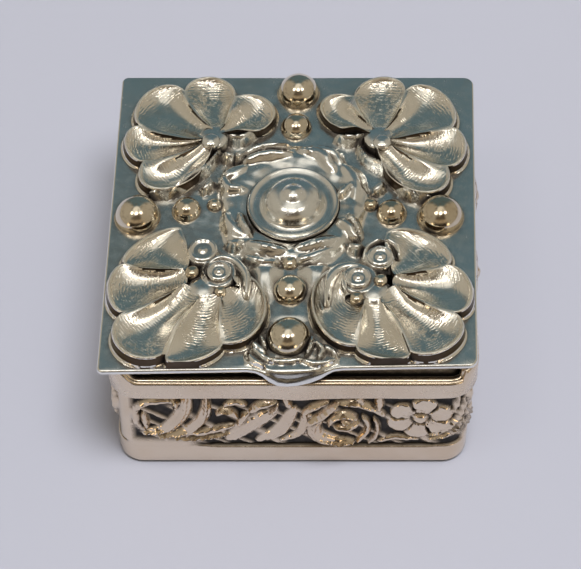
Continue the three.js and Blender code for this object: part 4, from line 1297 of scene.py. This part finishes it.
def silver(
    name, bright, warm, finish, rough,
    marks=0.0, grain=0.25, reach=0.9, crevice=(0.3, 0.62), ground=0.0, browning=0.8,
):
    """Silver: worn bright on what stands up, its crests lightened also as a painted highlight, black with
    oxide in the hollows, softly uneven.
    """
    material = bpy.data.materials.new(name)
    make = NodeMaker(material)
    position = make.node("ShaderNodeTexCoord").outputs["Object"]
    cloud = make.noise(position, 0.16, 3.0)
    fine = make.noise(position, 1.4, 4.0, 0.6)
    speck = make.noise(position, 5.0, 2.0, 0.6)
    shade = make.node("ShaderNodeAmbientOcclusion", {"samples": 8}, {"Distance": reach * MM})
    openness = make.maths("MULTIPLY_ADD", make.maths("SUBTRACT", fine, 0.5), 0.3, shade.outputs["AO"])
    black = make.band(openness, crevice[0], crevice[1], 1.0, 0.0)
    # The ground mark blackens the sunk field: oxide, and a painted shadow line in its groove.
    if ground > 0.0:
        sunk = make.maths("MULTIPLY", make.attribute("ground"), make.band(fine, 0.3, 0.6, 0.97, 1.0))
        black = make.maths("MAXIMUM", black, make.maths("MULTIPLY", sunk, ground))
    colour = make.mix(make.band(cloud, 0.35, 0.75, 0.1, 0.9), opaque(bright), opaque(warm))
    browned = make.band(openness, crevice[0] + 0.1, crevice[1] + 0.22, browning, 0.0)
    colour = make.mix(browned, colour, opaque(finish.brown))
    colour = make.mix(black, colour, opaque(finish.oxide))
    roughness = make.band(fine, 0.3, 0.75, rough - 0.05, rough + 0.08)
    roughness = make.maths("MULTIPLY_ADD", black, BLACK_ROUGHER, roughness)
    height = make.maths("MULTIPLY", fine, grain)
    height = make.maths("MULTIPLY_ADD", speck, grain * 0.3, height)
    height = make.maths("MULTIPLY_ADD", cloud, 1.2, height)
    if marks > 0.0:
        # Crests are worn bright and lightened further: painted highlight.
        crest = make.attribute("crest")
        colour = make.mix(make.maths("MULTIPLY", crest, CREST_WEAR_AND_HIGHLIGHT), colour, opaque(bright))
        roughness = make.maths("MULTIPLY_ADD", crest, CREST_ROUGHER, roughness)
        height = make.maths("MULTIPLY_ADD", chasing_marks(make, position), marks, height)
    bump = make.node(
        "ShaderNodeBump", inputs={"Strength": 0.6, "Distance": BUMP_HEIGHT * MM, "Height": height}
    )
    make.paint({
        "Base Color": colour,
        "Roughness": roughness,
        "Metallic": make.maths("MULTIPLY_ADD", black, BLACK_METALLIC, 1.0),
        "Specular IOR Level": SPECULAR,
        "Normal": bump.outputs["Normal"],
    })
    return material


def stage_material(name, colour, rough):
    """A matt stage paint with the faintest mottle."""
    material = bpy.data.materials.new(name)
    make = NodeMaker(material)
    cloud = make.noise(make.node("ShaderNodeTexCoord").outputs["Object"], 0.02, 2.0)
    darker = tuple(0.97 * c for c in colour)
    make.paint({"Base Color": make.mix(cloud, opaque(darker), opaque(colour)), "Roughness": rough})
    return material


# Settings that a user would change


def tint(name, description, colour):
    """A colour among the settings."""
    return FloatVectorProperty(
        name=name, description=description, subtype="COLOR", default=colour, min=0.0, max=1.0
    )


class TrinketFinish(PropertyGroup):
    """Colours of the silver."""

    bright: tint("Bright silver", "Silver of the lid where it is worn bright", (0.93, 0.90, 0.83))
    warm: tint("Tarnished silver and painted shade", "Silver of the lid under a thin warm tarnish", (0.84, 0.79, 0.69))
    plate: tint("Bright plate", "Silver of the lid between its shells", (0.90, 0.905, 0.88))
    plate_warm: tint(
        "Tarnished plate", "Silver of the lid between its shells, tarnished", (0.82, 0.80, 0.74)
    )
    wall_bright: tint("Bright wall", "Silver of the walls where it is worn bright", (0.81, 0.69, 0.55))
    wall_warm: tint("Tarnished wall", "Silver of the walls under a warm tarnish", (0.72, 0.58, 0.43))
    bead: tint("Bright beads", "Silver of the beads where it is worn bright", (0.84, 0.77, 0.64))
    bead_warm: tint("Tarnished beads", "Silver of the beads under a warm tarnish", (0.64, 0.53, 0.38))
    brown: tint("Brown tarnish", "Tarnish at the edges of the hollows", (0.26, 0.19, 0.12))
    # Painted shade on the steep sides of the shells.
    steep_shade: tint("Steep-side shade", "Painted shade on the steep edges of the shells", (0.09, 0.062, 0.04))
    oxide: tint("Oxide", "Black oxide in the hollows", (0.012, 0.010, 0.009))


class TrinketStage(PropertyGroup):
    """Floor, light and camera."""

    floor: tint("Floor", "Colour of the floor", (0.400, 0.410, 0.485))
    dark: tint("Far side", "The dim side of the room that the lid reflects", (0.098, 0.150, 0.170))
    elevation: FloatProperty(
        name="Camera elevation", description="Angle of the camera above the floor", subtype="ANGLE",
        default=math.radians(54.3),
    )
    distance: FloatProperty(
        name="Camera distance", description="From the camera to the middle of the box", subtype="DISTANCE",
        unit="LENGTH", default=0.228,
    )
    lens: FloatProperty(
        name="Focal length", description="Camera lens", subtype="DISTANCE_CAMERA", unit="CAMERA",
        default=157.4,
    )


# The stage

FLOOR_HALF = 3.0
PANES = ((72, 0, 0.10, 0.15), (64, -60, 0.09, 0.14), (64, 60, 0.09, 0.14))
PANE_GLOW = (4.6, 4.4, 4.1)
LAMPS = ((6, -38, 0.06, 0.12), (6, 38, 0.06, 0.12))
LAMP_GLOW = (3.4, 2.6, 1.6)
SOFT_LAMP_SIZE = 0.35
SOFT_LAMP_ENERGY = 6.5
SOFT_LAMP_PLACE = (0.12, -0.15, 0.8)
CAMERA_TARGET = (-0.21, -0.37, 6.5)
CAMERA_SENSOR = 36.0
CAMERA_CLIP = (0.01, 20.0)


def make_floor(settings):
    """A plain pale floor, far wider than the box."""
    bm = bmesh.new()
    bmesh.ops.create_grid(bm, x_segments=2, y_segments=2, size=FLOOR_HALF)
    mesh = bpy.data.meshes.new("floor")
    bm.to_mesh(mesh)
    bm.free()
    floor = bpy.data.objects.new("floor", mesh)
    bpy.context.scene.collection.objects.link(floor)
    mesh.materials.append(stage_material("Floor paint", tuple(settings.floor), 0.75))


def sky_direction(elevation, azimuth):
    """A direction from its elevation and its azimuth right of the camera's side, in degrees."""
    e, a = math.radians(elevation), math.radians(azimuth)
    return (math.cos(e) * math.sin(a), -math.cos(e) * math.cos(a), math.sin(e))


def sky_patches(make, direction, places):
    """1 inside round patches of sky: elevation, azimuth, and where each begins and ends to fade."""
    total = None
    for elevation, azimuth, inner, outer in places:
        distance = make.distance(direction, sky_direction(elevation, azimuth))
        patch = make.band(distance, inner, outer, 1.0, 0.0)
        total = patch if total is None else make.maths("ADD", total, patch)
    return total


def room_colour(make, direction, dark):
    """The dim room that the silver reflects: dark in front, bluish behind, bright overhead."""
    x, y, z = make.node("ShaderNodeSeparateXYZ", inputs={"Vector": direction}).outputs
    black = opaque((0.035, 0.028, 0.022))
    brown = opaque((0.11, 0.085, 0.06))
    golden = opaque((0.40, 0.32, 0.22))
    beige = opaque((0.40, 0.36, 0.29))
    bright = opaque((0.95, 0.91, 0.82))
    front = make.mix(make.band(z, 0.26, 0.46), black, golden)
    front = make.mix(make.band(z, 0.52, 0.68), front, brown)
    front = make.mix(make.band(z, 0.88, 0.96), front, bright)
    behind = make.mix(make.band(z, 0.90, 0.985), opaque(dark), bright)
    room = make.mix(make.band(y, -0.10, 0.10), front, behind)
    level = make.maths("SQRT", make.maths("MULTIPLY_ADD", x, x, make.maths("MULTIPLY", y, y)))
    sideways = make.maths("DIVIDE", make.maths("ABSOLUTE", x), make.maths("MAXIMUM", level, 0.05))
    beside = make.maths("MULTIPLY", make.band(sideways, 0.42, 0.72), make.band(level, 0.2, 0.5))
    room = make.mix(beside, room, beige)
    cloud = {"Vector": direction, "Scale": 4.5, "Detail": 3.0}
    cloudy = make.node("ShaderNodeTexNoise", inputs=cloud).outputs["Fac"]
    room = make.mix(make.band(cloudy, 0.54, 0.74, 0.0, 0.12), room, beige)
    room = make.mix(make.band(cloudy, 0.30, 0.48, 0.6, 0.0), room, brown)
    room = make.mix(sky_patches(make, direction, PANES), room, opaque(PANE_GLOW))
    return make.mix(sky_patches(make, direction, LAMPS), room, opaque(LAMP_GLOW))


def make_world(scene, settings):
    """The room as the silver sees it, and the floor's colour as the camera sees it."""
    world = bpy.data.worlds.new("Studio")
    scene.world = world
    make = NodeMaker(world)
    direction = make.node("ShaderNodeTexCoord").outputs["Generated"]
    room = room_colour(make, direction, settings.dark)
    seen = [
        make.node("ShaderNodeBackground", inputs={"Color": colour, "Strength": 1.0}).outputs[0]
        for colour in (room, opaque(settings.floor))
    ]
    camera_ray = make.node("ShaderNodeLightPath").outputs["Is Camera Ray"]
    mixed = make.node("ShaderNodeMixShader", inputs={0: camera_ray, 1: seen[0], 2: seen[1]})
    make.node("ShaderNodeOutputWorld", inputs={"Surface": mixed.outputs[0]})


def aim(thing, back):
    """Turns a lamp or a camera so that its back faces along a direction."""
    thing.rotation_mode = "QUATERNION"
    thing.rotation_quaternion = back.to_track_quat("Z", "Y")


def make_lamp(scene):
    """A soft lamp for the floor, which the silver doesn't reflect."""
    data = bpy.data.lights.new("Soft lamp", "AREA")
    data.shape = "DISK"
    data.size = SOFT_LAMP_SIZE
    data.energy = SOFT_LAMP_ENERGY
    lamp = bpy.data.objects.new("Soft lamp", data)
    scene.collection.objects.link(lamp)
    lamp.location = SOFT_LAMP_PLACE
    aim(lamp, Vector(lamp.location))
    lamp.visible_glossy = False


def make_camera(scene, settings):
    """The camera at the photograph's angle."""
    data = bpy.data.cameras.new("Camera")
    camera = bpy.data.objects.new("Camera", data)
    scene.collection.objects.link(camera)
    scene.camera = camera
    data.sensor_width = CAMERA_SENSOR
    data.lens = settings.lens
    data.clip_start, data.clip_end = CAMERA_CLIP
    back = Vector((0.0, -math.cos(settings.elevation), math.sin(settings.elevation)))
    camera.location = Vector(CAMERA_TARGET) * MM + back * settings.distance
    aim(camera, back)


# Operators


class TRINKET_OT_base(Operator):
    """Builds the base sheet"""

    bl_idname = "trinket.base"
    bl_label = "Base"

    def execute(self, context):
        finish = context.scene.trinket_finish
        inside = silver("Inside silver", finish.bright, finish.warm, finish, 0.38, grain=0.3)
        finish_piece(as_object(make_base(), "base_sheet"), [inside], "body", "base_plate")
        return {"FINISHED"}


class TRINKET_OT_walls(Operator):
    """Builds the chased side band and the plain rim strip"""

    bl_idname = "trinket.walls"
    bl_label = "Walls"

    def execute(self, context):
        finish = context.scene.trinket_finish
        tints = (finish.wall_bright, finish.wall_warm, finish)
        chased = silver(
            "Chased silver", *tints, 0.15, grain=0.2, reach=0.5, crevice=(0.42, 0.74), ground=1.0
        )
        plain = silver("Plain silver", *tints, 0.24, grain=0.06, crevice=(0.15, 0.4), browning=0.4)
        inside = silver("Wall inside", finish.bright, finish.warm, finish, 0.34, grain=0.3)
        wall = as_object(make_wall(), "chased_wall")
        mark_ground(wall)
        finish_piece(wall, [chased, inside], "body", "side_band", WALL_SHARP_ANGLE)
        finish_piece(as_object(make_rim(), "rim_strip"), [plain], "body", "rim_band")
        return {"FINISHED"}


class TRINKET_OT_lid(Operator):
    """Builds the embossed lid and the flange under it"""

    bl_idname = "trinket.lid"
    bl_label = "Lid"

    def execute(self, context):
        finish = context.scene.trinket_finish
        tints = (finish.bright, finish.warm, finish)
        plate = (finish.plate, finish.plate_warm, finish)
        beads = (finish.bead, finish.bead_warm, finish)
        # These tints paint the shells' steep sides dark brown and black: painted shade.
        edges = (finish.steep_shade, finish.oxide, finish)
        materials = [
            silver("Lid silver", *plate, 0.2, grain=0.2, crevice=(0.38, 0.68)),
            silver("Scooped silver", *tints, 0.20, grain=0.35, marks=0.34, crevice=(0.2, 0.5)),
            silver("Polished silver", *beads, 0.13, grain=0.15, crevice=(0.4, 0.72)),
            # Painted shade for the shells' steep sides.
            silver(
                "Tarnished silver and painted shade", *edges, 0.3, grain=0.5, reach=0.6, crevice=(0.55, 1.05), browning=0.1
            ),
        ]
        finish_piece(make_lid(), materials, "lid", "lid_plate", LID_SHARP_ANGLE)
        # The long reach blackens the flange where the lid and walls close over it: painted shade in the gap
        # under the lid.
        inside = silver("Flange silver", *tints, 0.34, grain=0.3, reach=3.0, crevice=(0.5, 1.0))
        flange = as_object(make_flange(), "flange_strip")
        finish_piece(flange, [inside], "lid", "lid_flange")
        return {"FINISHED"}


class TRINKET_OT_hinge(Operator):
    """Builds the hinge tubes and the wire through them"""

    bl_idname = "trinket.hinge"
    bl_label = "Hinge"

    def execute(self, context):
        finish = context.scene.trinket_finish
        metal = silver("Hinge silver", finish.bright, finish.warm, finish, 0.32, grain=0.3)
        wire = silver("Hinge wire", finish.warm, finish.warm, finish, 0.28, grain=0.2)
        for body, places in KNUCKLES.items():
            for place in places:
                node = f"knuckle_{body}_{place}"
                tube = as_object(make_knuckle(node, body == "lid"), f"tube_{body}_{place}")
                finish_piece(tube, [metal], body, node)
        finish_piece(as_object(make_pin(), "hinge_wire"), [wire], "body", "hinge_pin")
        return {"FINISHED"}


class TRINKET_OT_stage(Operator):
    """Builds the floor, the light and the camera"""

    bl_idname = "trinket.stage"
    bl_label = "Stage"

    def execute(self, context):
        settings = context.scene.trinket_stage
        make_floor(settings)
        make_world(context.scene, settings)
        make_lamp(context.scene)
        make_camera(context.scene, settings)
        context.scene.view_settings.view_transform = "Standard"
        return {"FINISHED"}


class TRINKET_PT_panel(Panel):
    """Lists the box's pieces and settings"""

    bl_idname = "TRINKET_PT_panel"
    bl_label = "Trinket Box"
    bl_space_type = "VIEW_3D"
    bl_region_type = "UI"
    bl_category = "Trinket Box"

    def draw(self, context):
        layout = self.layout
        for group in (context.scene.trinket_finish, context.scene.trinket_stage):
            for name in group.bl_rna.properties.keys():
                if name not in ("rna_type", "name"):
                    layout.prop(group, name)
        for operator in OPERATORS:
            layout.operator(operator.bl_idname)


OPERATORS = (
    TRINKET_OT_base,
    TRINKET_OT_walls,
    TRINKET_OT_lid,
    TRINKET_OT_hinge,
    TRINKET_OT_stage,
)
CLASSES = (TrinketFinish, TrinketStage, *OPERATORS, TRINKET_PT_panel)


def register():
    for cls in CLASSES:
        bpy.utils.register_class(cls)
    bpy.types.Scene.trinket_finish = PointerProperty(type=TrinketFinish)
    bpy.types.Scene.trinket_stage = PointerProperty(type=TrinketStage)


def unregister():
    del bpy.types.Scene.trinket_stage
    del bpy.types.Scene.trinket_finish
    for cls in reversed(CLASSES):
        bpy.utils.unregister_class(cls)


def main():
    """Builds the whole box and its stage."""
    register()
    bpy.ops.trinket.base()
    bpy.ops.trinket.walls()
    bpy.ops.trinket.lid()
    bpy.ops.trinket.hinge()
    bpy.ops.trinket.stage()


if __name__ == "__main__":
    main()
